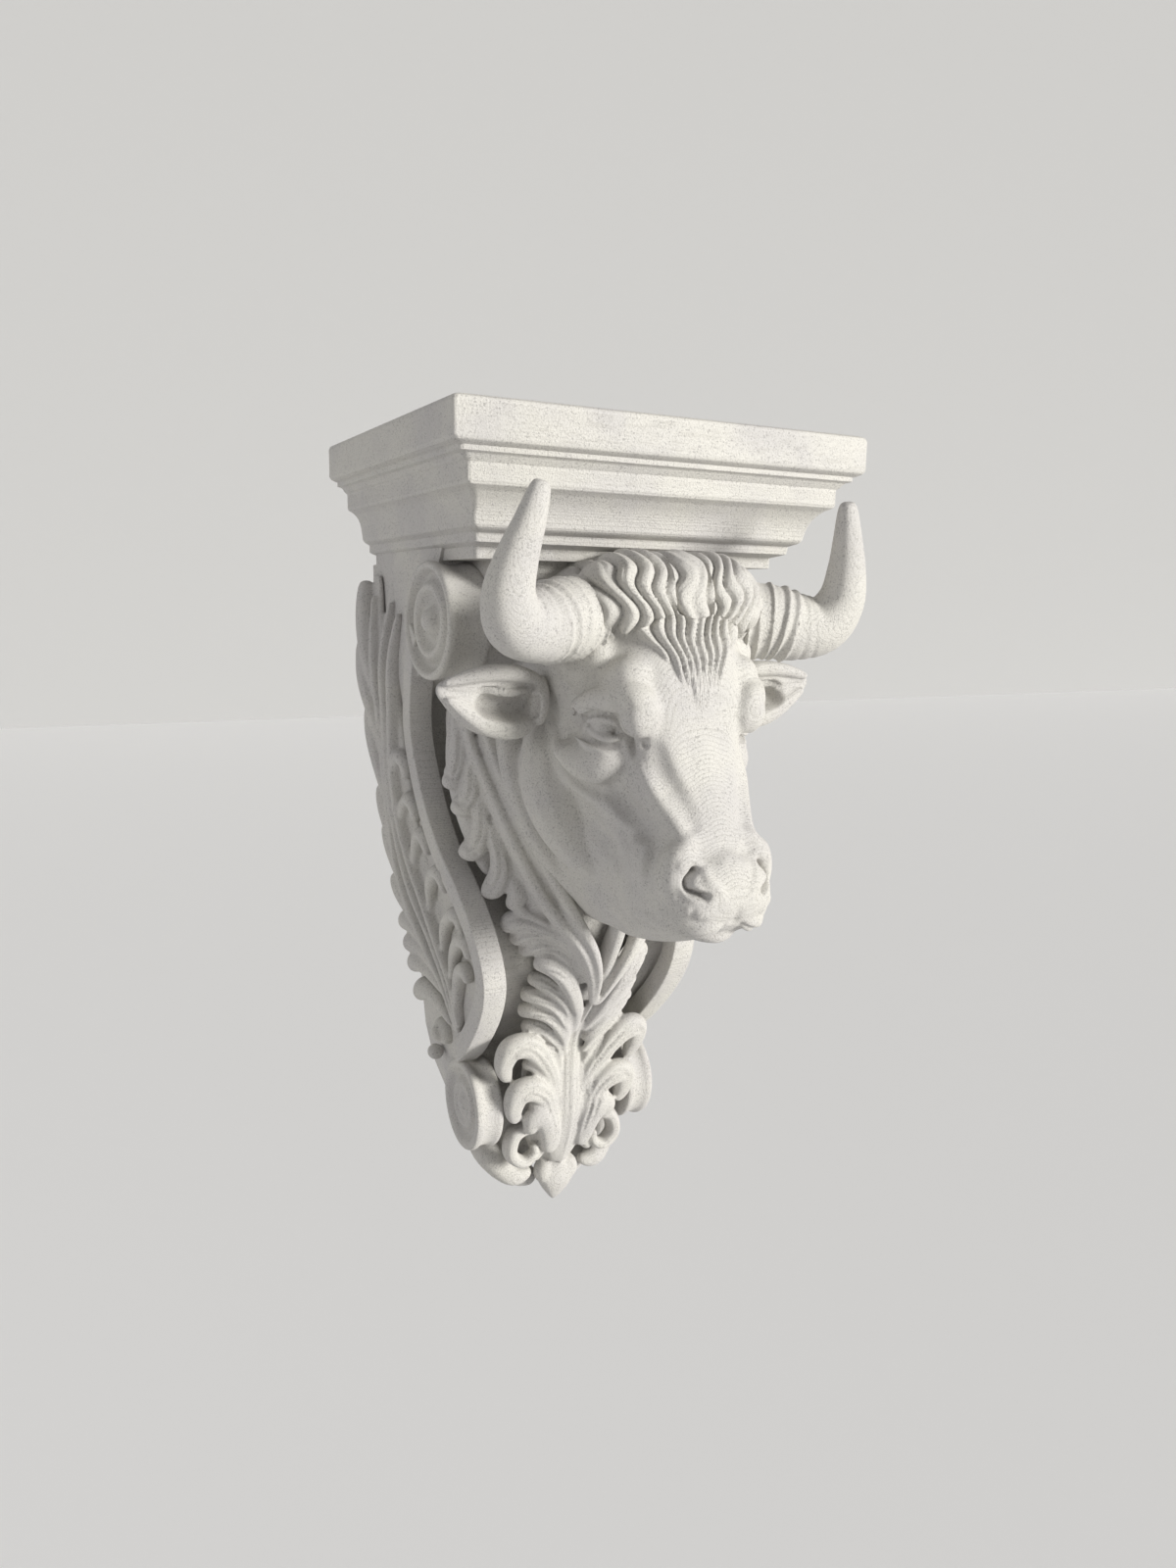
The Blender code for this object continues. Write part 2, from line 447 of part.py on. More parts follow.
def side_leaf(clay, side):
    """The long leaf on a side panel: a midrib, lobes at the wall edge, and curls beside the band."""
    outward = Vector((side, 0, 0))
    stroke(clay, [on_panel(side, *place) for place in MIDRIB], [0.8, 1.3, 1.5, 1.6, 1.6, 1.6, 1.3, 0.8],
           [0.8, 1.3, 1.6, 1.8, 1.8, 1.8, 1.4, 0.8], outward, blunt=4, rings=36)
    for lobe in WALL_LOBES:
        stroke(clay, [on_panel(side, *place) for place in lobe], [0.9, 1.7, 2.0, 1.7], [1.0, 1.6, 1.8, 1.6],
               outward, blunt=3)
    for curl in CURLS:
        stroke(clay, [on_panel(side, *place) for place in curl], [0.9, 1.5, 1.7, 1.5], [0.8, 1.2, 1.4, 1.3],
               outward, blunt=3)
    for out, down, radius in KNOBS:
        ball(clay, on_panel(side, out, down), (1.9, radius, radius))


def press(places, points, radius, push, steps=24):
    """Move the skin near a line through the points by push, less and less out to the radius."""
    line = np.array([blend(points, step / steps) for step in range(steps + 1)])
    low = line.min(axis=0) - radius
    high = line.max(axis=0) + radius
    near = np.nonzero(np.all((places > low) & (places < high), axis=1))[0]
    gap = np.full(len(near), 1e9)
    for place in line:
        gap = np.minimum(gap, np.linalg.norm(places[near] - place, axis=1))
    fade = np.clip(1 - (gap / radius) ** 2, 0, None) ** 2
    places[near] += fade[:, None] * np.array(push)


def carve(places):
    """Press the hollows: ears, nostrils, mouth, tear grooves and the hollows of the cheeks."""
    for side in BOTH:
        for line, radius, (outwards, inwards) in HOLLOWS:
            press(places, spots(side, line), radius, (side * outwards, inwards, 0))
    press(places, spots(1, LIP_PARTING), LIP_RADIUS, LIP_PUSH)
    press(places, spots(1, LIP_GAP), LIP_RADIUS, LIP_PUSH, steps=60)


def stand(shape, name):
    """Make an object of a shape, with its faces turned outwards."""
    bmesh.ops.recalc_face_normals(shape, faces=shape.faces)
    mesh = bpy.data.meshes.new(name)
    shape.to_mesh(mesh)
    shape.free()
    thing = bpy.data.objects.new(name, mesh)
    bpy.context.scene.collection.objects.link(thing)
    return thing


def merge(clay, name):
    """Turn rolls that run through one another into a single skin and return it as an object."""
    lump = stand(clay, name)
    remesh = lump.modifiers.new("Merge", "REMESH")
    remesh.mode = "VOXEL"
    remesh.voxel_size = VOXEL
    soften = lump.modifiers.new("Soften", "SMOOTH")
    soften.factor = 0.5
    soften.iterations = SMOOTHING
    bake(lump)
    return lump


def bake(thing):
    """Apply an object's modifiers to its mesh."""
    graph = bpy.context.evaluated_depsgraph_get()
    mesh = bpy.data.meshes.new_from_object(thing.evaluated_get(graph))
    thing.modifiers.clear()
    thing.data = mesh


def thin_out(thing, triangles):
    """Collapse the least telling faces until so many triangles are left."""
    now = sum(len(face.vertices) - 2 for face in thing.data.polygons)
    fewer = thing.modifiers.new("Fewer faces", "DECIMATE")
    fewer.ratio = min(1, triangles / now)
    bake(thing)


def cap():
    """The cap: slab, fillet, second slab, cavetto and a thin fillet at the front."""
    slab = bmesh.new()
    loops = []
    for inset, inset_front, down in CAP_LEVELS:
        half = CAP_HALF - inset
        out = CAP_OUT - inset_front
        loops.append([spot(across, reach, down) for across, reach in
                      ((-half, -BACK), (half, -BACK), (half, out), (-half, out))])
    loft(slab, loops)
    corners = [edge for edge in slab.edges if all(vert.co.y < -1 for vert in edge.verts)
               and edge.verts[0].co.x * edge.verts[1].co.x > 0]
    bmesh.ops.bevel(slab, geom=corners, offset=0.6, segments=2, profile=0.5, affect="EDGES", material=-1)
    return stand(slab, "cap")


def plastic():
    """Off-white marble-effect printing plastic."""
    material = bpy.data.materials.new("marble_plastic")
    material.use_nodes = True
    shader = material.node_tree.nodes["Principled BSDF"]
    shader.inputs["Base Color"].default_value = PLASTIC
    shader.inputs["Roughness"].default_value = ROUGHNESS
    return material


def keep_largest(shape):
    """Delete loose crumbs, so that the shape is one body."""
    left = set(shape.verts)
    bodies = []
    while left:
        stack = [left.pop()]
        body = list(stack)
        while stack:
            for edge in stack.pop().link_edges:
                for vert in edge.verts:
                    if vert in left:
                        left.discard(vert)
                        stack.append(vert)
                        body.append(vert)
        bodies.append(body)
    bodies.sort(key=len)
    for body in bodies[:-1]:
        bmesh.ops.delete(shape, geom=body, context="VERTS")


def cut_back(thing):
    """Cut the piece flat at the wall plane and close it."""
    shape = bmesh.new()
    shape.from_mesh(thing.data)
    cut = bmesh.ops.bisect_plane(shape, geom=shape.verts[:] + shape.edges[:] + shape.faces[:], dist=1e-4,
                                 plane_co=(0, 0, 0), plane_no=(0, 1, 0), clear_outer=True)
    rim = [item for item in cut["geom_cut"] if isinstance(item, bmesh.types.BMEdge)]
    bmesh.ops.contextual_create(shape, geom=rim)
    keep_largest(shape)
    bmesh.ops.triangulate(shape, faces=shape.faces)
    bmesh.ops.dissolve_degenerate(shape, dist=CRUMB, edges=shape.edges)
    bmesh.ops.scale(shape, vec=(METRE, METRE, METRE), verts=shape.verts)
    bmesh.ops.recalc_face_normals(shape, faces=shape.faces)
    shape.to_mesh(thing.data)
    shape.free()


def frame_pieces():
    """Return the crisp pieces that the clay is joined to: console, side bands and scrolls."""
    pieces = list(console())
    kinds = (("band", band, {}), ("upper_scroll", scroll, UPPER), ("lower_scroll", scroll, LOWER))
    for side in BOTH:
        for name, make, sizes in kinds:
            shape = bmesh.new()
            make(shape, side, **sizes)
            pieces.append(stand(shape, name))
    return pieces


def join(body, piece):
    """Add a closed piece to the body and drop it."""
    union = body.modifiers.new("Join", "BOOLEAN")
    union.operation = "UNION"
    union.solver = "MANIFOLD"
    union.object = piece
    bake(body)
    bpy.data.objects.remove(piece)


def corbel():
    """Model the piece and return it."""
    clay = bmesh.new()
    floor_of_leaf(clay)
    skull(clay)
    face_forms(clay)
    forelock(clay)
    for side in BOTH:
        horn(clay, side)
        ear(clay, side)
        rib_leaves(clay, side)
        middle_leaf(clay, side)
        side_leaf(clay, side)
    body = merge(clay, "clay")
    places = np.empty(len(body.data.vertices) * 3)
    body.data.vertices.foreach_get("co", places)
    places = places.reshape(-1, 3)
    carve(places)
    body.data.vertices.foreach_set("co", places.ravel())
    body.data.update()
    thin_out(body, CLAY_TRIANGLES)
    frame = frame_pieces()
    for piece in frame[1:] + [body]:
        join(frame[0], piece)
    frame[0].name = "bull_corbel"
    thin_out(frame[0], TRIANGLES)
    join(frame[0], cap())
    cut_back(frame[0])
    return frame[0]


def main():
    for thing in list(bpy.data.objects):
        bpy.data.objects.remove(thing)
    body = corbel()
    body.data.materials.clear()
    body.data.materials.append(plastic())
    body.data.shade_smooth()
    body.data.set_sharp_from_angle(angle=SHARP)
    print(body.name, len(body.data.polygons), "faces")


main()
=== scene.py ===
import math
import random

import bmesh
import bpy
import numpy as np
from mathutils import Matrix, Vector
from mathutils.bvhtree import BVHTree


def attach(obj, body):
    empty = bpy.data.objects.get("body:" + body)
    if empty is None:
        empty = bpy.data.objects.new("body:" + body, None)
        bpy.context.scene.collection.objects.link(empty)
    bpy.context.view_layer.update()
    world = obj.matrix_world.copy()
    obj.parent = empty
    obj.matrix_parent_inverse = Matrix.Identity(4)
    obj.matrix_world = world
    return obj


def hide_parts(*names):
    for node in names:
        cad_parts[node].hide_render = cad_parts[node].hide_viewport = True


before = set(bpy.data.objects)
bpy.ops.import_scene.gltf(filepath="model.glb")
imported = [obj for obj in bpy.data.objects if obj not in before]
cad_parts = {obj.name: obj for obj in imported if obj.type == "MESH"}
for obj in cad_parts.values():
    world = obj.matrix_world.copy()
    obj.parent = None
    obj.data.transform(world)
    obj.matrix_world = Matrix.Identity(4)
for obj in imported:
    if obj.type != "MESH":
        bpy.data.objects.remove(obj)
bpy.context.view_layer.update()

# %% [markdown]
# # A small corbel with a bull's head
# The real thing is one solid print in off-white, marble-effect plastic, 15 cm high: a moulded
# cap on a console, with scrolled side bands, acanthus leaves and a bull's head.
# We model it the way that a maker would carve it. The moulded and turned parts are crisp
# shapes. Everything that is carved is built up from rolls of clay, melted into one skin,
# and then worked with a small tool that presses grooves and raises ridges.
# Sizes are in millimetres while we work and become metres at the end. The forms are
# written as tables of places across, out and down, with a comment that names each form.

random.seed(5)         # the same strands of hair in every run

METRE = 0.001           # one millimetre in metres
HEIGHT = 151.0          # cap top to the tip of the drop
TOP = HEIGHT / 2        # the origin is on the back, half way up
CAP_HALF = 37.5         # half the cap's width
CAP_OUT = 65.1          # the cap's reach from the wall
FRONT = Vector((0, -1, 0))
BOTH = (-1, 1)          # left and right of the middle plane
NAMES = {-1: "left", 1: "right"}
HEAVIEST = 190000       # triangles in one piece, below the 200,000 that a piece may have

# %% [markdown]
# ## Where things are
# A carver measures from the wall and from the top, so a place is given as across from the
# middle, out from the wall and down from the cap's top. One helper turns that into Blender's
# axes. Two more draw a smooth line through a few given points, which is all that a lock of
# hair or the rib of a leaf needs.

# %% Places and smooth lines


def spot(across, out, down):
    """Return the place of a point given across, out from the wall and down from the cap's top."""
    return Vector((across, -out, TOP - down))


def blend(values, along):
    """Return the value at along, 0 to 1, of a smooth line through evenly spaced values."""
    last = len(values) - 1
    place = min(max(along, 0.0), 1.0) * last
    index = min(int(place), last - 1)
    t = place - index
    a, b, c, d = (values[min(max(index + k, 0), last)] for k in (-1, 0, 1, 2))
    bend = (a * 2 - b * 5 + c * 4 - d) * t * t
    return 0.5 * (b * 2 + (c - a) * t + bend + (b * 3 - a - c * 3 + d) * t ** 3)


def route(points, along):
    """Return the place and direction at along, 0 to 1, of a smooth line through the points."""
    step = 0.01
    ahead = blend(points, min(along + step, 1)) - blend(points, max(along - step, 0))
    return blend(points, along), ahead.normalized()


def spots(side, line):
    """Return the places of a line given as (across, out, down), mirrored to one side."""
    return [spot(side * across, out, down) for across, out, down in line]


print("cap corner at", tuple(spot(CAP_HALF, CAP_OUT, 0)))

# %% [markdown]
# ## Rolls of clay
# A modeller in clay adds rolls and balls and rubs them together. Here each roll is a sphere
# from bmesh whose rings are moved along a line, so its ends are closed and round. A list of
# widths and heights makes it swell and taper. The rolls may run through one another, because
# they are melted together later.

# %% Rolls and balls
RINGS, SIDES = 36, 16   # places along and around an ordinary roll


def add(clay, lump):
    """Add a lump to the clay. Each lump is made on its own, which is much quicker than in the clay."""
    mesh = bpy.data.meshes.new("lump")
    lump.to_mesh(mesh)
    lump.free()
    clay.from_mesh(mesh)
    bpy.data.meshes.remove(mesh)


def ball(clay, centre, radii, turn=None):
    """Add an egg of clay."""
    lump = bmesh.new()
    place = Matrix.Translation(centre) @ (turn or Matrix()) @ Matrix.Diagonal((*radii, 1))
    bmesh.ops.create_uvsphere(lump, u_segments=28, v_segments=18, radius=1, matrix=place)
    add(clay, lump)


def roll(clay, points, widths, heights, face=FRONT, blunt=2.4, rings=RINGS, sides=SIDES):
    """Lay a roll of clay along the points, as wide and as high as the lists say on the way."""
    lump = bmesh.new()
    bmesh.ops.create_uvsphere(lump, u_segments=sides, v_segments=rings, radius=1)
    for vert in lump.verts:
        lengthwise = max(-1.0, min(1.0, vert.co.z))
        place, ahead = route(points, (lengthwise + 1) / 2)
        side = ahead.cross(face).normalized()
        up = side.cross(ahead)
        ring = math.sqrt(max(1 - lengthwise ** 2, 1e-9))
        full = max(1 - abs(lengthwise) ** blunt, 0) ** (1 / blunt) / ring
        wide = blend(widths, (lengthwise + 1) / 2) * full
        high = blend(heights, (lengthwise + 1) / 2) * full
        vert.co = place + side * vert.co.x * wide + up * vert.co.y * high
    add(clay, lump)


def loft(shape, loops):
    """Join rings of places, all with the same count, into one closed body."""
    rings = []
    for loop in loops:
        verts = [shape.verts.new(place) for place in loop]
        rings.append([shape.edges.new((verts[k], verts[k - 1])) for k in range(len(verts))])
    for lower, upper in zip(rings, rings[1:]):
        bmesh.ops.bridge_loops(shape, edges=lower + upper)
    for end in (rings[0], rings[-1]):
        bmesh.ops.contextual_create(shape, geom=end)


def model(clay, side, forms):
    """Add the forms of a table to one side.

    A ball is a centre and radii. A roll is a line, widths and heights, and sometimes settings.
    """
    for place, *sizes in forms:
        if len(sizes) == 1:
            ball(clay, spot(side * place[0], *place[1:]), sizes[0])
        else:
            widths, heights, *settings = sizes
            roll(clay, spots(side, place), widths, heights, **(settings[0] if settings else {}))


print("an ordinary roll is a sphere with", RINGS * SIDES, "places")

# %% [markdown]
# ## Melting the clay
# The Voxel Remesh modifier wraps everything in one closed skin of small, even faces, which is
# what sculptors use before they carve. A few passes of the Smooth modifier then take the
# stair steps out. The size of a voxel sets the finest detail that the skin can hold.

# %% One skin from many rolls


def stand(shape, name):
    """Make an object of a shape, with its faces turned outwards."""
    bmesh.ops.recalc_face_normals(shape, faces=shape.faces)
    mesh = bpy.data.meshes.new(name)
    shape.to_mesh(mesh)
    shape.free()
    thing = bpy.data.objects.new(name, mesh)
    bpy.context.scene.collection.objects.link(thing)
    return thing


def bake(thing):
    """Apply an object's modifiers to its mesh."""
    graph = bpy.context.evaluated_depsgraph_get()
    mesh = bpy.data.meshes.new_from_object(thing.evaluated_get(graph))
    thing.modifiers.clear()
    thing.data = mesh


def melt(clay, name, voxel, smoothing):
    """Turn rolls that run through one another into a single skin and return it as an object."""
    thing = stand(clay, name)
    remesh = thing.modifiers.new("Melt", "REMESH")
    remesh.mode = "VOXEL"
    remesh.voxel_size = voxel
    soften = thing.modifiers.new("Soften", "SMOOTH")
    soften.factor = 0.5
    soften.iterations = smoothing
    bake(thing)
    print(name, "is melted into", len(thing.data.vertices), "places")
    return thing


def under_layer(clay, voxel, smoothing):
    """Melt the broad forms, rub them smooth, and return them as new clay to build on."""
    lump = melt(clay, "under_layer", voxel, smoothing)
    clay = bmesh.new()
    clay.from_mesh(lump.data)
    bpy.data.objects.remove(lump)
    return clay


def thin_out(thing, triangles):
    """Collapse the least telling faces until no more than so many triangles are left."""
    now = sum(len(face.vertices) - 2 for face in thing.data.polygons)
    if now > triangles:
        fewer = thing.modifiers.new("Fewer faces", "DECIMATE")
        fewer.ratio = triangles / now
        bake(thing)


# %% [markdown]
# ## The tool
# Grooves in leaves, wrinkles and the parting of hair are too fine to be rolls. The tool takes
# a line, lays it on the skin at the nearest place, and moves the skin near it along its
# own normals: inwards for a groove, outwards for a ridge. The effect fades to nothing at the
# tool's radius, as a rounded tool's mark does.

# %% A tool that presses and raises the skin
THINNEST = 0.05         # radius below which the tool doesn't go


class Skin:
    """The skin of a clay body while it is worked."""

    def __init__(self, thing):
        self.thing = thing
        self.places = np.empty(len(thing.data.vertices) * 3)
        thing.data.vertices.foreach_get("co", self.places)
        self.places = self.places.reshape(-1, 3)
        self.settle()

    def settle(self):
        """Write the moved places back and measure the skin anew."""
        mesh = self.thing.data
        mesh.vertices.foreach_set("co", self.places.ravel())
        mesh.update()
        normals = np.empty(len(self.places) * 3, dtype=np.float32)
        mesh.vertex_normals.foreach_get("vector", normals)
        self.normals = normals.reshape(-1, 3).astype(float)
        shape = bmesh.new()
        shape.from_mesh(mesh)
        self.tree = BVHTree.FromBMesh(shape)
        shape.free()

    def fade_along(self, points, radii, steps):
        """Return the places near the line, how much each is touched, and how far along."""
        shares = [step / steps for step in range(steps + 1)]
        line = np.array([self.tree.find_nearest(blend(points, share))[0] for share in shares])
        sizes = np.array([max(blend(radii, share), THINNEST) for share in shares])
        reach = sizes.max()
        low, high = line.min(axis=0) - reach, line.max(axis=0) + reach
        near = np.nonzero(np.all((self.places > low) & (self.places < high), axis=1))[0]
        gaps = np.linalg.norm(self.places[near][:, None, :] - line[None, :, :], axis=2) / sizes[None, :]
        which = gaps.argmin(axis=1)
        gap = gaps[np.arange(len(near)), which]
        return near, np.clip(1 - gap ** 2.0, 0, None) ** 2, which / steps

    def draw(self, points, radii, depths, steps=24):
        """Press a groove of these depths along the line, or raise a ridge where they are below 0."""
        radii = radii if isinstance(radii, (list, tuple)) else [radii, radii]
        depths = depths if isinstance(depths, (list, tuple)) else [depths, depths]
        near, fade, along = self.fade_along(points, radii, steps)
        if not len(near):
            return
        deep = np.interp(along, np.linspace(0, 1, len(depths)), depths)
        self.places[near] -= self.normals[near] * (fade * deep)[:, None]

    def push(self, points, radius, way, steps=16):
        """Move the skin near the line by way, less and less out to the radius."""
        near, fade, _ = self.fade_along(points, [radius, radius], steps)
        self.places[near] += fade[:, None] * np.array(way)

    def draw_all(self, side, strokes):
        """Draw the strokes of a table, each given as line, radii and depths, on one side."""
        for line, radii, depths in strokes:
            self.draw(spots(side, line), radii, depths)

    def raise_by(self, heights):
        """Move every place of the skin outwards by its own height."""
        self.places += self.normals * heights[:, None]
        self.settle()

    def rub(self):
        """Smooth the whole skin a little, as a wet thumb does."""
        self.settle()
        soften = self.thing.modifiers.new("Rub", "SMOOTH")
        soften.factor = 0.5
        soften.iterations = 1
        bake(self.thing)
        self.thing.data.vertices.foreach_get("co", self.places.reshape(-1))
        self.settle()


# %% [markdown]
# ## The finish
# The print is matte, warm white and full of fine dark grains, like marble. It was built up in
# layers parallel to the wall, about a quarter of a millimetre each, so gentle slopes that face
# forward carry contour lines, like a map, and flat fronts show the path of the nozzle. The
# shader has no picture: noise makes the grains, and a saw-tooth of the distance from the wall
# makes the layers. Painted shade darkens the colour in the grooves of the layers and along the
# nozzle's path. Shader maths is written as expressions, by a small class that wraps a socket.

# %% Node expressions


class Value:
    """A socket that can be used in an expression."""

    def __init__(self, nodes, socket):
        self.nodes = nodes
        self.socket = socket

    def maths(self, operation, *others, swap=False):
        terms = [self.socket, *others]
        if swap:
            terms.reverse()
        return self.nodes.make("ShaderNodeMath", {"operation": operation}, terms)

    def __add__(self, other):
        return self.maths("ADD", other)

    __radd__ = __add__

    def __sub__(self, other):
        return self.maths("SUBTRACT", other)

    def __rsub__(self, other):
        return self.maths("SUBTRACT", other, swap=True)

    def __mul__(self, other):
        return self.maths("MULTIPLY", other)

    __rmul__ = __mul__

    def abs(self):
        return self.maths("ABSOLUTE")

    def fraction(self):
        return self.maths("FRACT")

    def above(self, start, end):
        """Return 0 below start, 1 above end and a smooth rise between."""
        settings = {"interpolation_type": "SMOOTHSTEP"}
        inputs = {"Value": self, "From Min": start, "From Max": end}
        return self.nodes.make("ShaderNodeMapRange", settings, inputs)


class Nodes:
    """The node tree of one material."""

    def __init__(self, material):
        self.tree = material.node_tree

    def put(self, socket, value):
        if isinstance(value, Value):
            value = value.socket
        if isinstance(value, bpy.types.NodeSocket):
            self.tree.links.new(value, socket)
        else:
            socket.default_value = value

    def make(self, kind, settings, inputs, output=0):
        """Add a node, set it, fill or link its sockets, and return one of its outputs."""
        node = self.tree.nodes.new(kind)
        for name, value in settings.items():
            setattr(node, name, value)
        pairs = inputs.items() if isinstance(inputs, dict) else enumerate(inputs)
        for name, value in pairs:
            self.put(node.inputs[name], value)
        return Value(self, node.outputs[output])

    def noise(self, place, scale, detail=2.0, rough=0.5):
        inputs = {"Vector": place, "Scale": scale, "Detail": detail, "Roughness": rough}
        return self.make("ShaderNodeTexNoise", {}, inputs, "Fac")

    def mix(self, share, first, second):
        settings = {"data_type": "RGBA"}
        return self.make("ShaderNodeMix", settings, {0: share, 6: first, 7: second}, 2)


# %% [markdown]
# The base is two close whites in slow clouds. Dark grains gather in crowds, and finer motes
# lie between them. Where a surface faces forward, each layer ends in a thin line of painted
# shade, and flat fronts get painted shade along the nozzle's path. The layers also go into a
# bump, so that they catch the light.

# %% The marble-effect plastic
WARM_WHITE, COOL_WHITE = (0.56, 0.545, 0.505, 1), (0.50, 0.485, 0.47, 1)
# the third grey is painted shade, laid into the grooves of the layers and of the nozzle's path
GRAIN_GREY, MOTE_GREY, GROOVE_SHADE_GREY = (0.15, 0.14, 0.14, 1), (0.25, 0.235, 0.23, 1), (0.30, 0.285, 0.25, 1)
LAYER = 0.00027         # thickness of a printed layer, in metres
HATCH = 0.8             # how deep the nozzle's path is on flat fronts, beside the layers


def marble_plastic():
    """Off-white printing plastic with dark grains, layers and the nozzle's path, with painted shade in
    their grooves.
    """
    material = bpy.data.materials.new("marble_plastic")
    material.use_nodes = True
    nodes = Nodes(material)
    shader = material.node_tree.nodes["Principled BSDF"]
    place = nodes.make("ShaderNodeTexCoord", {}, {}, "Object")
    depth = nodes.make("ShaderNodeSeparateXYZ", {}, {"Vector": place}, "Y")
    facing = nodes.make("ShaderNodeNewGeometry", {}, {}, "Normal")
    forward = nodes.make("ShaderNodeSeparateXYZ", {}, {"Vector": facing}, "Y").abs()

    grains = nodes.noise(place, 3000, 2.0, 0.5).above(0.565, 0.66)
    crowd = nodes.noise(place, 300, 2.0).above(0.22, 0.56)
    motes = nodes.noise(place, 5200, 1.0).above(0.53, 0.66)
    cloud = nodes.noise(place, 60, 3.0, 0.6)
    warm = nodes.mix(cloud.above(0.35, 0.65), WARM_WHITE, COOL_WHITE)
    speckled = nodes.mix(grains * crowd * 0.46, warm, GRAIN_GREY)
    mottled = nodes.mix(motes * 0.30, speckled, MOTE_GREY)
    nodes.put(shader.inputs["Roughness"], cloud * 0.16 + 0.50)

    wander = nodes.noise(place, 120, 2.0)
    layer = (depth * (1 / LAYER) + wander * 0.5).fraction()
    stretched = nodes.make("ShaderNodeMapping", {}, {"Vector": place, "Scale": (0.1, 1, 1)})
    ridge = nodes.noise(stretched, 2300, 2.0, 0.6)
    flat = forward.above(0.985, 0.998)
    steps = layer * (forward.above(0.45, 0.95) * 0.75 + 0.25)
    lines = steps * (1 - flat) + ridge * flat * HATCH
    # painted shade: the colour darkens at the end of each layer's step and along the nozzle's ridges, where
    # the grooves would lie in shade
    edges = layer.above(0.6, 0.98) * forward.above(0.5, 0.95) * (1 - flat)
    groove_shade = ridge.above(0.50, 0.68) * flat + edges
    nodes.put(shader.inputs["Base Color"], nodes.mix(groove_shade * 0.22, mottled, GROOVE_SHADE_GREY))
    grit = nodes.noise(place, 3600, 2.0, 0.6)
    relief = lines * 0.75 + grit * 0.5
    bump = {"Strength": 0.7, "Distance": 0.00030, "Height": relief}
    nodes.put(shader.inputs["Normal"], nodes.make("ShaderNodeBump", {}, bump, "Normal"))
    return material


finish_coat = marble_plastic()
print("material", finish_coat.name, "with", len(finish_coat.node_tree.nodes), "nodes")

# %% [markdown]
# Every finished piece is treated alike: scaled to metres, given the finish, shaded smooth
# with its corners kept, and told which solid of the plain model it stands for.

# %% Finish a piece
SHARP = math.radians(38)        # edges that turn more than this stay crisp


def finish(thing, crisp=False):
    """Turn a piece into metres, shade it and hang it on the fixed model."""
    thing.data.transform(Matrix.Scale(METRE, 4))
    thing.data.materials.clear()
    thing.data.materials.append(finish_coat)
    thing.data.shade_smooth()
    if crisp:
        thing.data.set_sharp_from_angle(angle=SHARP)
    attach(thing, "root")
    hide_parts("bull_corbel")
    triangles = sum(len(face.vertices) - 2 for face in thing.data.polygons)
    print(thing.name, "has", triangles, "triangles")
    return thing


# %% [markdown]
# ## The cap
# A moulding is the same outline run round three sides with mitred corners. Each level of it
# is a rectangle, given by how far it stands in from the full size at the sides and at the
# front, and the levels are bridged. A small bevel rounds every edge as the print does.

# %% The moulded cap
# Each row: how far in at the sides, how far in at the front, and down from the top.
CAP_LEVELS = (
    (0.9, 0.9, 0), (0.25, 0.25, 0.25), (0, 0, 0.9), (0, 0, 5.8), (0.3, 0.3, 6.3), (1, 1, 6.6),
    (1.5, 1.5, 6.75), (1.5, 1.5, 7.5), (2.3, 2.3, 7.7), (2.65, 2.65, 8.1), (2.95, 2.95, 8.55),
    (3.35, 3.35, 8.8), (3.4, 3.4, 9.2), (3.4, 3.4, 11.4), (3.6, 3.6, 11.85), (4.1, 4.1, 12.1),
    (4.6, 4.8, 12.4), (5.1, 5.4, 12.9), (5.5, 6.15, 13.5), (5.8, 6.8, 14.2), (6, 7.35, 15),
    (6.1, 7.8, 15.8), (6.2, 8.05, 16.5), (6.3, 8.2, 17.2), (6.5, 8.5, 17.6), (6.9, 9, 17.9),
    (7.3, 9.9, 18.1), (7.6, 10.6, 18.25), (7.6, 10.7, 18.9), (7.6, 10.9, 19.6), (8.2, 12.4, 19.9),
    (9, 14, 20.2), (9, 14, 22))


def moulded_cap():
    """The cap, bridged level by level."""
    shape = bmesh.new()
    loops = []
    for inset, inset_front, down in CAP_LEVELS:
        half, out = CAP_HALF - inset, CAP_OUT - inset_front
        outline = ((-half, 0), (half, 0), (half, out), (-half, out))
        loops.append([spot(across, reach, down) for across, reach in outline])
    loft(shape, loops)
    corners = [edge for edge in shape.edges if all(vert.co.y < -1 for vert in edge.verts)
               and edge.verts[0].co.x * edge.verts[1].co.x > 0]
    bmesh.ops.bevel(shape, geom=corners, offset=0.85, segments=4, profile=0.5, affect="EDGES", material=-1)
    thing = stand(shape, "moulded_cap")
    soft = thing.modifiers.new("Soft edges", "BEVEL")
    soft.width = 0.24
    soft.segments = 3
    soft.limit_method = "ANGLE"
    soft.angle_limit = math.radians(20)
    bake(thing)
    return thing


finish(moulded_cap(), crisp=True)

# %% [markdown]
# ## The console and its side bands
# Behind the carving stands a plain block. On each side a strap runs in a long S from the
# upper scroll to the lower one. Its outline is a rounded rectangle carried along a line, and
# the side panel between strap and wall lies a little deeper. Flat faces in one plane flicker
# in a render, so where the block runs up into the cap, and where the core runs in the block,
# their backs stand a little in from the wall.

# %% The block and the bands
# The band's outer front edge, from the upper scroll down: across, out and down.
BAND_LINE = (
    (31, 29.4, 35), (30.4, 25.5, 40), (29, 20, 48), (28.2, 18.8, 55), (27, 21.2, 65), (26, 26, 73),
    (24.9, 33.8, 80.5), (23.6, 38.2, 88), (22.3, 39.4, 96.5), (21.5, 35.6, 104.5), (20.9, 27.5, 113.5),
    (20.4, 20.5, 119))
BAND_WIDTH = 4.6
BAND_THICK = 4.2
PANEL_SINK = 1.3        # the side panel lies this far behind the band's outer face
CHANNEL_SINK = 6.0      # the channel floor lies this far behind the band's front
BAND_STEPS = 96
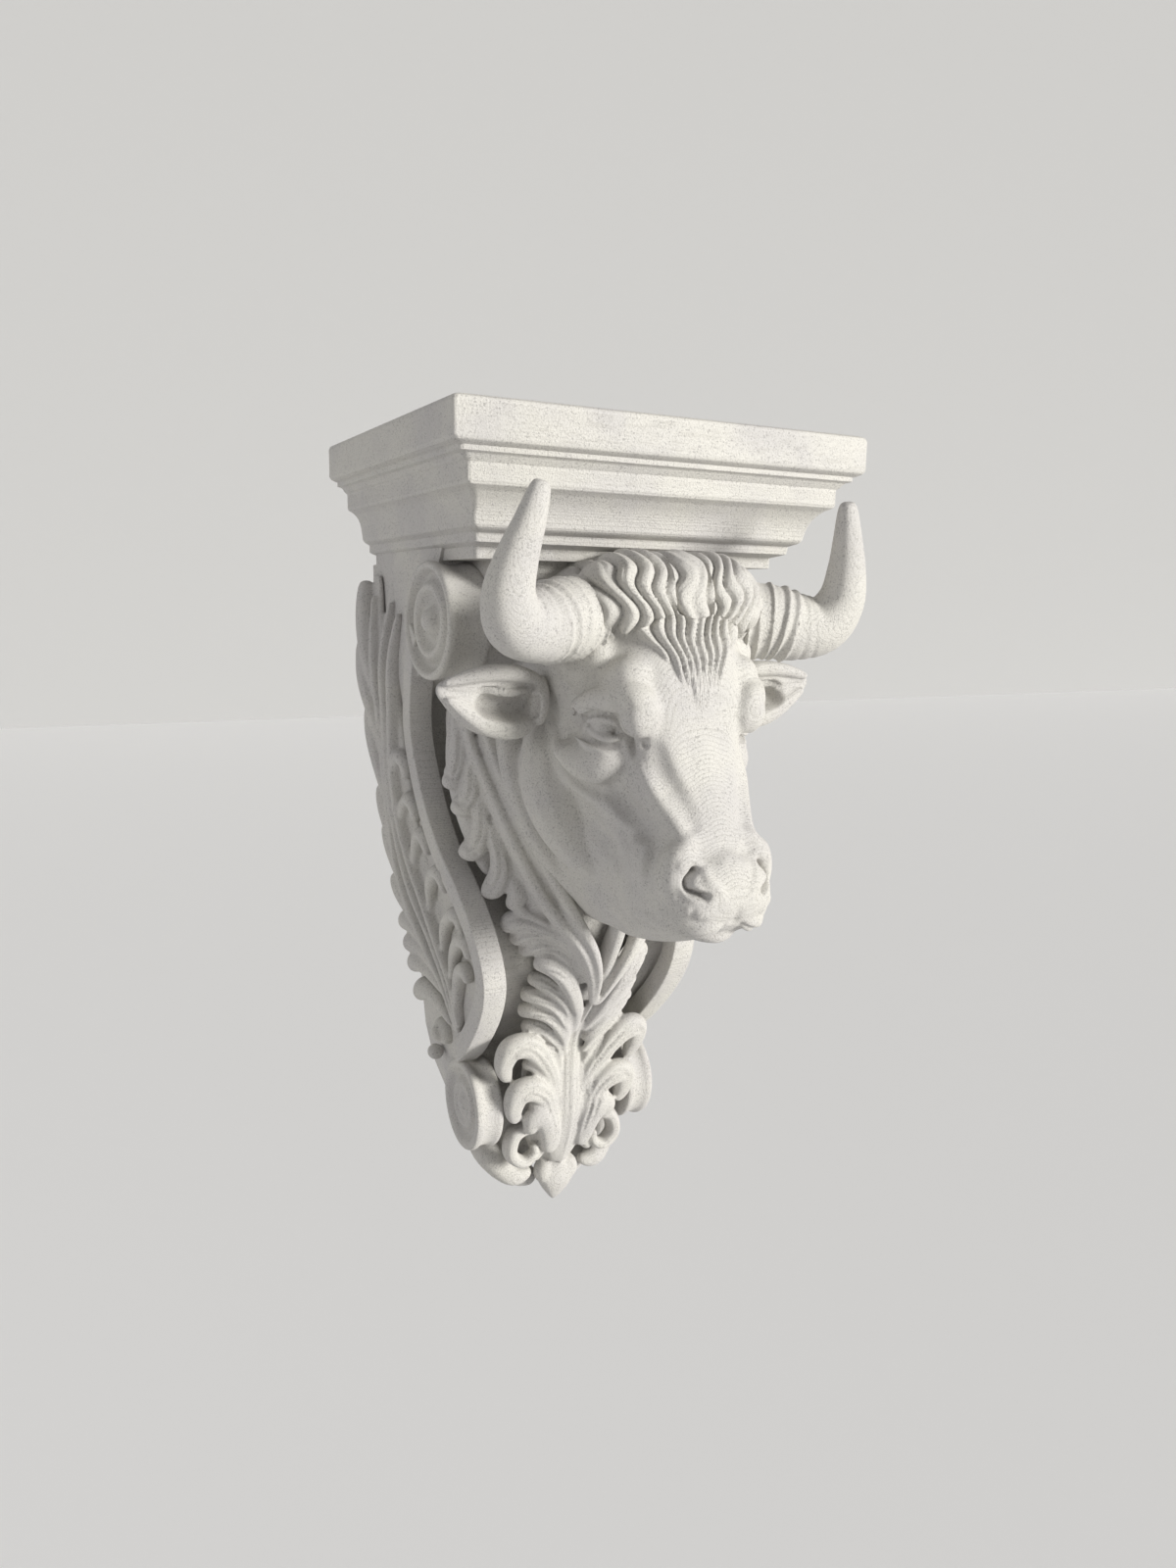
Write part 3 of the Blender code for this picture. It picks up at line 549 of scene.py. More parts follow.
# Levels of the block and of the core between the scrolls: down, half width, front and back.
BLOCK_TOP = (
    (14, 29.2, 42, 2), (21.9, 29.2, 36.9, 2), (22, 29.2, 36.8, 0), (30, 29.2, 36, 0), (38, 29.2, 34, 0),
    (43, 28.8, 22, 0))
BLOCK_END = ((126, 17.5, 20, 0), (134, 14.5, 20, 0), (141, 11.5, 18, 0), (146, 8, 15, 0), (149, 4.5, 12, 0))
CORE = ((15, 24, 50, 4), (30, 24, 46, 4), (38, 24, 42, 4), (46, 23, 30, 4))


def band_at(down):
    """Return half width and out of the band's outer front edge at a level."""
    halves, outs, levels = zip(*BAND_LINE)
    return float(np.interp(down, levels, halves)), float(np.interp(down, levels, outs))


def block():
    """The body behind the leaves: side panels and channel floor, and a core between the upper scrolls."""
    shape = bmesh.new()
    sections = list(BLOCK_TOP)
    for down in range(48, 119, 5):
        half, out = band_at(down)
        sections.append((down, half - PANEL_SINK, out - CHANNEL_SINK, 0))
    sections += BLOCK_END
    for levels in (sections, CORE):
        loops = []
        for down, half, out, back in levels:
            corners = ((-half, back), (half, back), (half, out), (-half, out))
            loops.append([spot(across, reach, down) for across, reach in corners])
        loft(shape, loops)
    return stand(shape, "console_block")


def band(side):
    """One scrolled side band: a strap with a flat front and rounded edges."""
    shape = bmesh.new()
    points = [Vector(point) for point in BAND_LINE]
    loops = []
    for step in range(BAND_STEPS + 1):
        along = step / BAND_STEPS
        half, out, down = blend(points, along)
        _, ahead = route(points, along)
        inward = Vector((0, -ahead.z, ahead.y)).normalized() * BAND_THICK
        loop = []
        for across, depth in ((half, 0), (half - BAND_WIDTH, 0), (half - BAND_WIDTH, 1), (half, 1)):
            loop.append(spot(side * across, out + inward.y * depth, down + inward.z * depth))
        loops.append(loop)
    loft(shape, loops)
    thing = stand(shape, "band_" + NAMES[side])
    soft = thing.modifiers.new("Round edges", "BEVEL")
    soft.width = 0.55
    soft.segments = 4
    soft.limit_method = "ANGLE"
    soft.angle_limit = math.radians(40)
    bake(thing)
    return thing


finish(block(), crisp=True)
for side in BOTH:
    finish(band(side), crisp=True)

# %% [markdown]
# ## The scrolls
# Each scroll is a turned spool lying across the console: a rim, a raised ring and a boss on
# the outer face, and a waist that narrows between the ends. Turning is what bmesh's spin does,
# so the half outline is drawn once and spun a full round. The spool is then
# squeezed a little, because the real scroll is taller than it is deep.

# %% Spools turned by spinning
# Where a scroll's outer and inner ends are across, its axis, and half its depth and height.
UPPER = dict(outer=31.5, inner=23.5, out=36.0, down=32.0, reach=11.5, radius=10.0)
LOWER = dict(outer=19.7, inner=13.8, out=21.2, down=127.3, reach=9.1, radius=9.1)
# A face is half an outline: how far from the middle, as a share of the radius, and how far out.
UPPER_FACE = (
    (0, 0.5), (0.09, 0.4), (0.17, -0.1), (0.225, -1.1), (0.29, -1.85), (0.38, -1.95), (0.45, -1.5),
    (0.5, -0.7), (0.55, -0.25), (0.61, -0.35), (0.665, -1.1), (0.72, -1.8), (0.785, -1.85), (0.835, -1.1),
    (0.87, -0.25), (0.92, 0.02))
LOWER_FACE = (
    (0, 0.2), (0.1, 0.12), (0.19, -0.25), (0.27, -0.75), (0.33, -0.85), (0.4, -0.5), (0.46, -0.25),
    (0.52, -0.5), (0.58, -1.1), (0.64, -1.35), (0.7, -1.25), (0.76, -0.75), (0.82, -0.2), (0.9, 0))


def spool(side, name, face, outer, inner, out, down, reach, radius):
    """A turned spool that lies across the console."""
    wide = outer - inner
    rim = ((0.965, -0.12), (0.992, -0.45), (1.0, -0.95), (0.99, -1.5))
    waist = ((0.955, -wide * 0.32), (0.925, -wide * 0.5), (0.945, -wide * 0.68))
    far_rim = ((0.985, 1.3 - wide), (0.995, 0.8 - wide), (0.97, 0.2 - wide), (0.85, -wide), (0, -wide))
    outline = [Vector((share * radius, 0, step)) for share, step in face + rim + waist + far_rim]
    shape = bmesh.new()
    verts = [shape.verts.new(place) for place in outline]
    edges = [shape.edges.new(pair) for pair in zip(verts, verts[1:])]
    bmesh.ops.spin(shape, geom=verts + edges, cent=(0, 0, 0), axis=(0, 0, 1), angle=math.tau, steps=72,
                   use_merge=True)
    bmesh.ops.remove_doubles(shape, verts=shape.verts, dist=0.01)
    lay = Matrix(((0, 0, side), (reach / radius, 0, 0), (0, 1, 0))).to_4x4()
    centre = Matrix.Translation(spot(side * outer, out, down))
    bmesh.ops.transform(shape, matrix=centre @ lay, verts=shape.verts)
    thing = stand(shape, name)
    smooth = thing.modifiers.new("Smooth outline", "SUBSURF")
    smooth.levels = 1
    smooth.render_levels = 1
    bake(thing)
    return thing


for side in BOTH:
    finish(spool(side, "upper_scroll_" + NAMES[side], UPPER_FACE, **UPPER))
    finish(spool(side, "lower_scroll_" + NAMES[side], LOWER_FACE, **LOWER))

# %% [markdown]
# ## The bull's head
# The head starts as one closed egg whose outline is set level by level: narrow and deep at the
# muzzle, broad at the brow. Forms that stand out of it are rolls: brows, eyes, the bags
# below them, nostril wings and lips. Anatomy is easier to get right with few big forms first,
# so these are melted and rubbed smooth before eyelids and lips are laid on.

# %% Skull and neck
NECK_BACK = 26          # the neck's back edge, out from the wall
# Levels of the head: down, front, half the nose's width, half the cheeks' width, and their out.
HEAD = (
    (20, 52, 7, 12, 44), (24, 61.5, 8, 14.5, 48), (30, 68.4, 8.5, 15.6, 53), (36, 71.4, 8.8, 16, 56),
    (42, 73, 8.8, 15.6, 56), (48, 73.6, 8, 14.5, 54), (54, 75.6, 7.4, 14.6, 51), (60, 78.2, 6.9, 14.2, 50),
    (65, 80.6, 6.8, 12.6, 52), (70, 84, 7.2, 10.8, 57), (75, 84.4, 6.8, 9.2, 61), (80, 79, 5.5, 7.6, 62),
    (85, 68, 4, 5, 56))


def section(level, across_share):
    """Return across and out of the head's outline at one level, from the front, 0, to the back, 1."""
    front, nose, cheek, cheek_out = level
    points = [Vector(place) for place in (
        (0, front), (nose * 0.72, front - 0.5), (nose * 1.18, front - 4),
        ((nose * 1.18 + cheek) / 2 + 0.9, (front - 4 + cheek_out) / 2 + 1.2), (cheek, cheek_out),
        (cheek + 1.6, cheek_out - 12), (cheek * 0.9, 20), (0, 10))]
    return blend(points, across_share)


def skull(clay):
    """The bull's head and neck as one closed body, level by level."""
    levels = [Vector(level[1:]) for level in HEAD]
    downs = [level[0] for level in HEAD]
    lump = bmesh.new()
    bmesh.ops.create_uvsphere(lump, u_segments=96, v_segments=80, radius=1)
    for vert in lump.verts:
        height = max(-1.0, min(1.0, vert.co.z))
        lengthwise = (1 - height) / 2
        level = blend(levels, lengthwise)
        ring = math.sqrt(max(1 - height ** 2, 1e-9))
        full = max(1 - abs(height) ** 7, 0) ** (1 / 3)
        angle = math.atan2(vert.co.x, -vert.co.y)
        across, out = section(level, abs(angle) / math.pi)
        middle = (level[0] + NECK_BACK) / 2
        if ring < 0.01:
            across, out = 0, middle
        vert.co = spot(math.copysign(across, angle) * full, middle + (out - middle) * full,
                       blend(downs, lengthwise))
    add(clay, lump)


print("the head is set at", len(HEAD), "levels")

# %% [markdown]
# The forms of the face are tables: eggs for masses such as the forelock and the muzzle, rolls
# for long forms such as the brow, the cheek bone and the jaw. The fine forms have a table of
# their own, because they are laid on after the first melt.

# %% Brows, cheeks, nose and lips
# Upper lid, fold above it, lower lid and the crease of the bag: a line and its widths.
LIDS = (
    (((10.8, 67.4, 48), (11.7, 67.4, 46.6), (12.9, 66.4, 45.9), (14.1, 65.1, 46), (15.1, 63.3, 46.8)),
     (0.5, 0.8, 0.9, 0.75, 0.5)),
    (((10.4, 68.4, 46.8), (11.8, 67.8, 44.9), (13.4, 65.9, 44.4), (15.1, 62.9, 45), (16.1, 60.1, 46.3)),
     (0.6, 0.95, 1.05, 0.95, 0.5)),
    (((10.9, 67.2, 48.6), (11.9, 67.1, 49.2), (13, 66.1, 49.2), (14.2, 64.7, 48.6), (15.1, 63.2, 47.5)),
     (0.45, 0.68, 0.75, 0.68, 0.45)),
    (((11.2, 67, 51), (12.8, 66.1, 51.5), (14.5, 63.7, 50.8), (15.9, 60.7, 49.2)), (0.3, 0.55, 0.55, 0.3)))
BROAD_FORMS = (
    # mass of the forelock
    ((6.5, 62.2, 28.6), (8.2, 6.8, 6.6)),
    # temple
    ((12.6, 58, 36), (4.4, 8, 7)),
    # forehead above the brow
    (((6.4, 69, 39), (9.8, 68, 39.8), (12.8, 63.6, 41.2)), (2.4, 3.6, 2.6), (2, 3.4, 2.4)),
    # brow
    (((9.2, 71.7, 48.6), (9.2, 72, 45.4), (10.7, 71, 42.6), (13.2, 67.4, 42.2), (15.4, 61.4, 43.8)),
     (1.6, 2.4, 2.6, 1.9, 0.9), (1.4, 2.2, 2.3, 1.7, 0.9)),
    # eye socket
    ((12, 60.8, 48), (3, 4, 2.8)),
    # bag below the eye
    (((16.6, 55.2, 51), (14.7, 60.8, 52.6), (12.4, 65, 53.4), (10.2, 67.6, 53.2)), (2.2, 3.4, 3.5, 2.4),
     (1.2, 2, 2.1, 1.5)),
    # cheek bone
    (((15.2, 51, 46), (14.2, 53.6, 52.6), (13.2, 58, 56.8), (11, 64.4, 60), (9.4, 69.4, 63)),
     (1.5, 2, 2.1, 2, 1.5), (1.3, 1.9, 2.1, 1.9, 1.4)),
    # ridge beside the nose
    (((9.6, 70, 52.4), (8.2, 71.8, 55.4), (6.8, 73.8, 58.4), (5.6, 77, 62), (5.8, 79.4, 65)),
     (1.2, 1.8, 2.1, 2, 1.7), (0.9, 1.4, 1.6, 1.5, 1.3)),
    # jaw muscle
    (((12.6, 46, 44), (11.6, 49, 56), (9, 53, 66), (5.2, 58, 75)), (5, 8.4, 8, 5), (4.6, 6.6, 6, 4.6)),
    # nostril wing
    (((4.8, 79.4, 63), (6.8, 78.2, 66.4), (7.1, 77.6, 70.6), (5.2, 79.6, 74)), (2, 2.9, 3, 2.4),
     (2, 3, 3.4, 2.6)),
    # side of the muzzle
    ((9, 71.6, 67.6), (2.2, 3.6, 4.6)),
    # corner of the lips
    ((5.4, 76.6, 74.4), (3.9, 6, 3.3)),
    # edge of the neck
    (((18.6, 40, 44), (17.6, 41.5, 56), (13.6, 43.5, 68), (8, 46, 77), (2, 48, 85)),
     (2.4, 3.2, 3.2, 2.6, 1.6), (2.4, 3.2, 3.2, 2.8, 1.6)),
)
MIDDLE_FORMS = (
    # bridge of the nose
    (((0, 70, 44), (0, 72.2, 52), (0, 76, 60), (0, 79.2, 66)), (6.4, 5.8, 4.8, 4.6), (3.2, 2.9, 2.6, 2.6)),
    # muzzle
    ((0, 76.3, 71), (8.4, 7.95, 7.4)),
    # middle of the forelock
    ((0, 62.8, 28.4), (6, 6.6, 6.4)),
)
FINE_FORMS = (
    # end of the brow
    ((10, 70.6, 45.2), (3, 3.3, 3.7)),
    # its ridge
    (((9.4, 70.6, 46.6), (10.6, 70, 43.2), (12.8, 67.6, 43), (14.8, 64, 43.4), (16.4, 59.6, 45)),
     (1.6, 2.8, 2.3, 1.8, 1), (1.4, 2.3, 2.4, 2, 1.1)),
    # eyeball
    ((12.5, 64.1, 47.5), (2, 2.6, 1.5)),
)
UPPER_LIP = (
    ((1.4, 82.9, 75.5), (4.4, 81.6, 76), (7, 77, 76.3), (7.9, 69, 75.6)),
    (1.6, 2.1, 2.2, 1.8),
    (1.4, 1.8, 2, 1.6))
LOWER_LIP = (((-6, 74.5, 77.7), (0, 79, 78.4), (6, 74.5, 77.7)), (1.4, 1.6, 1.4), (1.4, 1.6, 1.4))


def fine_forms(clay):
    """The ends of the brows, eyes with their lids, and the lips."""
    for side in BOTH:
        model(clay, side, FINE_FORMS)
        for line, widths in LIDS:
            roll(clay, spots(side, line), widths, [width * 1.2 for width in widths], rings=28)
        model(clay, side, [UPPER_LIP])
    model(clay, 1, [LOWER_LIP])


print(len(BROAD_FORMS), "broad and", len(FINE_FORMS) + len(LIDS) + 1, "fine forms on each side")

# %% [markdown]
# A sculptor lets the big forms set before going on. So the broad forms are melted coarsely
# and rubbed smooth first. Eyelids and lips are laid on that, and all is melted again, finely.

# %% Melt the head
clay = bmesh.new()
skull(clay)
for side in BOTH:
    model(clay, side, BROAD_FORMS)
model(clay, 1, MIDDLE_FORMS)
clay = under_layer(clay, voxel=0.5, smoothing=6)
fine_forms(clay)
head = melt(clay, "bull_head", voxel=0.26, smoothing=3)

# %% [markdown]
# Now the tool. First broad, shallow strokes for the hollows beside the nose and the cheek
# bones, then the fine ones: eyelids, tear grooves, nostrils, lips and wrinkles. The order
# matters, because a broad stroke would blur a fine one.

# %% Broad strokes on the face
# A stroke is a line, the tool's radii and its depths. A depth below 0 raises a ridge.
BROAD_STROKES = (
    # beside the bridge of the nose
    (((7.6, 72.4, 50.5), (6.9, 74.2, 54.6), (5.6, 76, 57.6), (4.6, 78.4, 61)), (2, 2.6, 2),
     (0.3, 0.9, 0.5)),
    # between cheek bone and nose
    (((11.8, 66.6, 57.2), (10.4, 69.4, 60), (8.8, 72.6, 63)), 2.8, (0.7, 1.6, 0.9)),
    # hollow of the cheek
    (((13.2, 59, 61.4), (11.4, 62.6, 66), (10.8, 66, 68)), 3.2, (0.5, 1.4, 0.7)),
    # below the eye's bag
    (((15.8, 55, 52.6), (15, 58, 56), (12.8, 63, 58)), 2, (0.3, 1, 0.5)),
    # behind the eye
    (((16.6, 58, 42.6), (15.8, 61, 46.4), (16.8, 57.6, 49)), 2, (0.4, 0.8, 0.3)),
    # wing of the nostril, raised
    (((9.2, 73, 65), (9.8, 73, 68.4), (9.4, 74, 72)), (1.8, 2.2, 1.8), (-0.1, -0.35, -0.2)),
    # behind the nostril
    (((10.8, 69, 64.4), (11.2, 69, 68), (10.6, 69, 72)), 1.8, 0.4),
    # above the nostril
    (((3, 83, 64), (5, 81.6, 64), (7.2, 79, 64.2)), 1.8, (0.2, 0.45, 0.2)),
)

skin = Skin(head)
for side in BOTH:
    skin.draw_all(side, BROAD_STROKES)
skin.rub()
print(len(BROAD_STROKES), "broad strokes on each side")

# %% [markdown]
# Each nostril is pushed in twice, first wide and then deep. The mouth is one long groove on
# each side. The tear groove and the creases round the lids give the eye its heavy look.

# %% Fine strokes on the face
FINE_STROKES = (
    # rim of the nostril, raised
    (((5.4, 81.8, 65.8), (7.7, 79.6, 67.2), (8, 78.6, 70), (6.8, 80, 72.5), (4.4, 82.4, 73.5)),
     (1.2, 1.5, 1.2), (-0.25, -0.5, -0.2)),
    # its inner rim, raised
    (((4.8, 82.6, 66.8), (4.4, 83.2, 68.6), (3.2, 84.2, 70.2), (2.4, 84.4, 71.6)), (1, 1.4, 1),
     (-0.3, -0.5, -0.2)),
    # tear groove
    (((10.7, 68.2, 48), (10.2, 68.8, 49.8), (9.6, 69.2, 51.8)), (0.8, 0.9, 0.7), (0.9, 1.6, 0.3)),
    # crease below the brow
    (((10.4, 69, 46.6), (11.6, 68.9, 44.6), (13.4, 66.8, 43.6), (15.4, 62.4, 44)), (0.7, 0.9, 0.6),
     (0.2, 0.8, 0.1)),
    # fold of the upper lid
    (((10.5, 68.2, 47.2), (11.8, 67.9, 45.7), (13.4, 66.3, 45), (15.2, 63.2, 45.7)), 0.5, (0.2, 0.8, 0.2)),
    # below the end of the brow
    (((13, 69.4, 45.4), (12.4, 70, 47.4), (11, 70.4, 49.2), (9.2, 71.4, 49.9)), (0.8, 0.9, 0.9, 0.7),
     (0.2, 1.7, 1.7, 0.3)),
    # outer end of the lid
    (((11.6, 69, 46.6), (13, 67.2, 45.2), (14.6, 64.8, 45.1), (16.2, 60.8, 46.2)), (0.6, 0.7, 0.7, 0.6),
     (0.1, 0.7, 0.6, 0.1)),
    # below the lower lid
    (((11, 67.4, 50), (12.4, 66.8, 50.4), (14.4, 64.4, 49.8)), 0.6, (0.1, 0.5, 0.1)),
    # wrinkle of the cheek
    (((10.9, 64.6, 65.8), (11, 65.6, 68.6), (10.6, 66.4, 71.6)), 0.55, (0.15, 0.3, 0.15)),
)
NOSTRIL = ((6, 81, 67.4), (6.3, 80.2, 69.2), (5.7, 80.8, 70.8), (4.6, 82.2, 71.5))
MOUTH = ((1, 83.8, 76.9), (3.6, 83, 77.3), (6.4, 80, 77.8), (7.6, 75, 78.2), (7.8, 68, 77.9))
LIP_PARTING = ((0, 85.2, 73), (0.2, 85.2, 74.4), (0, 84.6, 76.2))

for side in BOTH:
    for radius, inwards, deep in ((1.1, 0.1, 0.7), (0.75, 0.3, 2.0)):
        skin.push(spots(side, NOSTRIL), radius, (side * -inwards, deep, 0))
        skin.settle()
    skin.draw_all(side, FINE_STROKES)
    skin.draw(spots(side, MOUTH), (0.9, 1.0, 0.8), (0.45, 0.55, 0.3), steps=60)
skin.draw(spots(1, LIP_PARTING), (0.9, 1.2, 1.3), (0.15, 0.45, 0.6))
skin.rub()
print(len(FINE_STROKES) + 1, "fine strokes on each side")

# %% [markdown]
# The hair on the brow falls from under the cap in thick, wavy locks that draw together
# towards a point between the eyes. A carver blocks the whole mass out and then combs it with
# a gouge. The comb here gives a height for every place of the skin. A table says where the
# partings run, each stretch between two of them is one rounded lock, and the whole comb swings
# from side to side as it goes down, most of all near the cap.

# %% Comb the forelock
STEP_DOWN = 4           # the partings are given every so many millimetres
LEVELS = (20, 24, 28, 32, 36, 40, 44)
# One row for each parting, from the middle to the side: how far across it is at each level.
PARTINGS = (
    (-0.6, -0.6, -0.4, -0.2, 0, 0, 0), (2.2, 2.6, 2.5, 1.9, 1.5, 1, 0.5),
    (4.8, 4.9, 4.3, 3.4, 2.7, 1.9, 1.1), (7.8, 7, 6.3, 5.1, 4, 2.9, 1.9), (11, 9.2, 8.3, 6.8, 5.4, 4.1, 3),
    (13.8, 11.5, 10.2, 8.9, 7.2, 5.6, 4.2), (16.6, 14, 12.4, 11.2, 9.4, 7.4, 5.6),
    (19.4, 16.6, 15, 14, 12.2, 10, 8), (22, 19.4, 18, 17.2, 16, 14, 12))
# Across, and down where the locks end there.
HAIR_ENDS = (
    (0, 2.8, 5.3, 6.7, 9.5, 11.4, 13.2, 15.2, 17.5), (44.4, 40, 37, 34.8, 33.2, 32.6, 32.8, 34.4, 36.8))
SWING = 0.95            # how far the comb swings
LOCK_HIGH = 1.75        # how far a lock stands out
STRAND_HIGH = 0.28      # how far a strand stands out of its lock
TIP_LONG = 2.2          # a tip rounds off over this length
HAIR_SIDE = 18.2        # the comb stops this far across
HAIR_BACK = 48          # and this far out, behind the brow


def lanes_at(across, down):
    """Return which lock a place lies in: whole numbers lie on the partings."""
    level = np.clip((down - LEVELS[0]) / STEP_DOWN, 0, len(LEVELS) - 1.001)
    below = level.astype(int)
    share = level - below
    partings = np.array(PARTINGS)
    lines = partings[:, below] * (1 - share) + partings[:, below + 1] * share
    lane = np.zeros(len(across))
    for left, right in zip(lines, lines[1:]):
        lane += np.clip((across - left) / (right - left), 0, 1)
    return lane


skin.settle()
across, out, down = skin.places[:, 0], -skin.places[:, 1], TOP - skin.places[:, 2]
upper = np.interp(down, (24, 32, 40), (1.0, 0.6, 0.0))
swing = SWING * upper * np.sin(down * 0.95 + np.abs(across) * 0.28 + 0.12 * across)
lane = lanes_at(np.abs(across + swing), down)
across = np.abs(across)
rope = np.abs(np.sin(math.pi * lane)) ** np.interp(down, (28, 36), (0.5, 1.1))
strand = np.sqrt(np.abs(np.sin(math.pi * (lane * 3 + 0.25 * np.sin(down * 1.3)))))
tip = np.interp(across, *HAIR_ENDS) + 1.8 * rope - 1.0 + 0.7 * np.sin(np.floor(lane) * 2.4)
reach = np.clip((tip - down) / TIP_LONG, 0, 1)
full = np.interp(down, (22, 30, 36, 44), (1.0, 1.0, 0.6, 0.25))
heights = np.sqrt(1 - (1 - reach) ** 2) * (full * (0.1 + LOCK_HIGH * rope) + STRAND_HIGH * upper * strand)
edge = np.clip((HAIR_SIDE - across) / 1.6, 0, 1) * np.clip((out - HAIR_BACK) / 6, 0, 1)
print("the comb raises", int((heights * edge > 0.1).sum()), "places")
skin.raise_by(heights * edge)
skin.rub()

# %% [markdown]
# Below the thick locks the hair is short. Fine strokes stand for it. Chance scatters them,
# but all of them draw together towards the point between the eyes.

# %% Fine strands on the brow and beside it
STRANDS_ON_BROW = 110
STRANDS_BESIDE = 26
for _ in range(STRANDS_ON_BROW):
    side = random.choice(BOTH)
    share = random.random()
    across = 0.4 + 9.0 * (1 - share) * random.random() + random.uniform(0, 0.8)
    down = 33.0 + 10.4 * share + random.uniform(-0.6, 1.4)
    out = 74.5 - across * 0.35
    line = ((across + 1.1, out, down - 1.5), (across + 0.1, out, down), (across - 0.7, out, down + 1.6))
    skin.draw(spots(side, line), 0.55, (0.02, 0.34, 0.02))
for _ in range(STRANDS_BESIDE):
    side = random.choice(BOTH)
    across = random.uniform(14.6, 17.6)
    down = random.uniform(30.0, 38.0)
    out = 67.0 - (across - 14.0) * 1.8
    line = ((across - 0.4, out, down - 1.2), (across, out, down), (across + 0.8, out - 1.0, down + 1.2))
    skin.draw(spots(side, line), 0.5, (0.05, random.choice((-0.3, 0.3)), 0.05))
thin_out(head, HEAVIEST)
finish(head)

# %% [markdown]
# ## Horns and ears
# A horn is one long roll bent along a line, with rings pressed round its root where it grows.
# An ear is a flat leaf with a rolled edge and a hollow.

# %% Horns and ears
HORN = (
    (11, 58.5, 31), (15.6, 60.6, 31.1), (19.8, 62.6, 31.2), (24.2, 64.3, 32), (28.4, 66.3, 31.4),
    (30.4, 68.2, 27.6), (29.9, 69.8, 22.6), (28.6, 71.2, 17.6), (27.2, 72.4, 11.9))
HORN_RADII = (6.6, 6.5, 6.2, 5.7, 4.9, 4, 3.2, 2.5, 1.9)


def horn(clay, side):
    """A ringed horn that leaves the head sideways and sweeps up to a blunt tip."""
    line = spots(side, HORN)
    roll(clay, line, HORN_RADII, HORN_RADII, blunt=5, rings=60, sides=32)
    for ring in range(5):
        place, ahead = route(line, 0.13 + 0.052 * ring)
        turn = ahead.to_track_quat("Z", "Y").to_matrix().to_4x4()
        ball(clay, place, (7.1 - 0.17 * ring, 7.1 - 0.17 * ring, 0.9), turn)


EAR_FORMS = (
    # blade of the ear
    (((18, 51, 44.6), (23, 51.6, 44.8), (29, 52.6, 44), (36, 53.4, 41.8)), (3.6, 5.2, 5, 1.7),
     (1.9, 2.2, 1.8, 0.9), dict(blunt=3, rings=44, sides=28)),
    # upper rim
    (((18.2, 53, 40.8), (23, 53.6, 39.8), (29, 54.2, 39.8), (35.2, 54.6, 41.2)), (1.1, 1.45, 1.3, 0.9),
     (1.3, 1.7, 1.5, 0.9), dict(blunt=3)),
    # lower rim
    (((18.8, 52.2, 47.6), (22.4, 52.8, 48.6), (28, 53.6, 47.6), (34.6, 54.4, 43.4)), (1.5, 1.9, 1.8, 1),
     (1.4, 1.8, 1.6, 0.9), dict(blunt=3)),
    # root
    (((17.6, 52, 40.2), (18, 53, 44.6), (18, 52.4, 48.4)), (1.3, 1.6, 1.2), (1.3, 1.8, 1.2)),
)
EAR_HOLLOW = ((20.4, 53.6, 45), (23.6, 54.2, 45.2), (27.6, 54.6, 44.4))
EAR_STROKES = (
    # inside the upper rim
    (((20, 53, 42), (24, 53.6, 42.2), (29, 54.2, 43), (34.2, 54.8, 42.6)), (0.7, 0.9, 0.6),
     (0.4, 0.8, 0.3)),
    # fold in the hollow, raised
    (((20, 53.4, 43.2), (24, 53.2, 43.2), (28.4, 54, 44.2)), (0.7, 0.9, 0.6), (-0.6, -0.7, -0.2)),
    # root of the hollow
    (((19.2, 53.4, 44), (19.4, 53.4, 46.4)), 1, 0.9),
)
RING_MARKS = 9          # grooves pressed round each horn

clay = bmesh.new()
for side in BOTH:
    horn(clay, side)
    model(clay, side, EAR_FORMS)
horns = melt(clay, "horns_and_ears", voxel=0.32, smoothing=3)
skin = Skin(horns)
for side in BOTH:
    skin.push(spots(side, EAR_HOLLOW), 2.9, (0, 3.2, 0))
    skin.settle()
    skin.draw_all(side, EAR_STROKES)
    for ring in range(RING_MARKS):
        place, ahead = route(spots(side, HORN), 0.10 + 0.042 * ring)
        upward = ahead.cross(Vector((side, 0, 0))).normalized()
        across = ahead.cross(upward).normalized()
        turns = [math.tau * part / 16 for part in range(17)]
        around = [place + (upward * math.cos(turn) + across * math.sin(turn)) * HORN_RADII[0]
                  for turn in turns]
        skin.draw(around, 0.6, 0.30 - 0.02 * ring, steps=64)
skin.rub()
finish(horns)

# %% [markdown]
# ## Ribs, husks and the leaves in front
# Two long ribs hang beside the neck and carry small husks on the outside. They meet in an
# acanthus leaf under the chin, and below it a palm leaf fans out down to the drop.

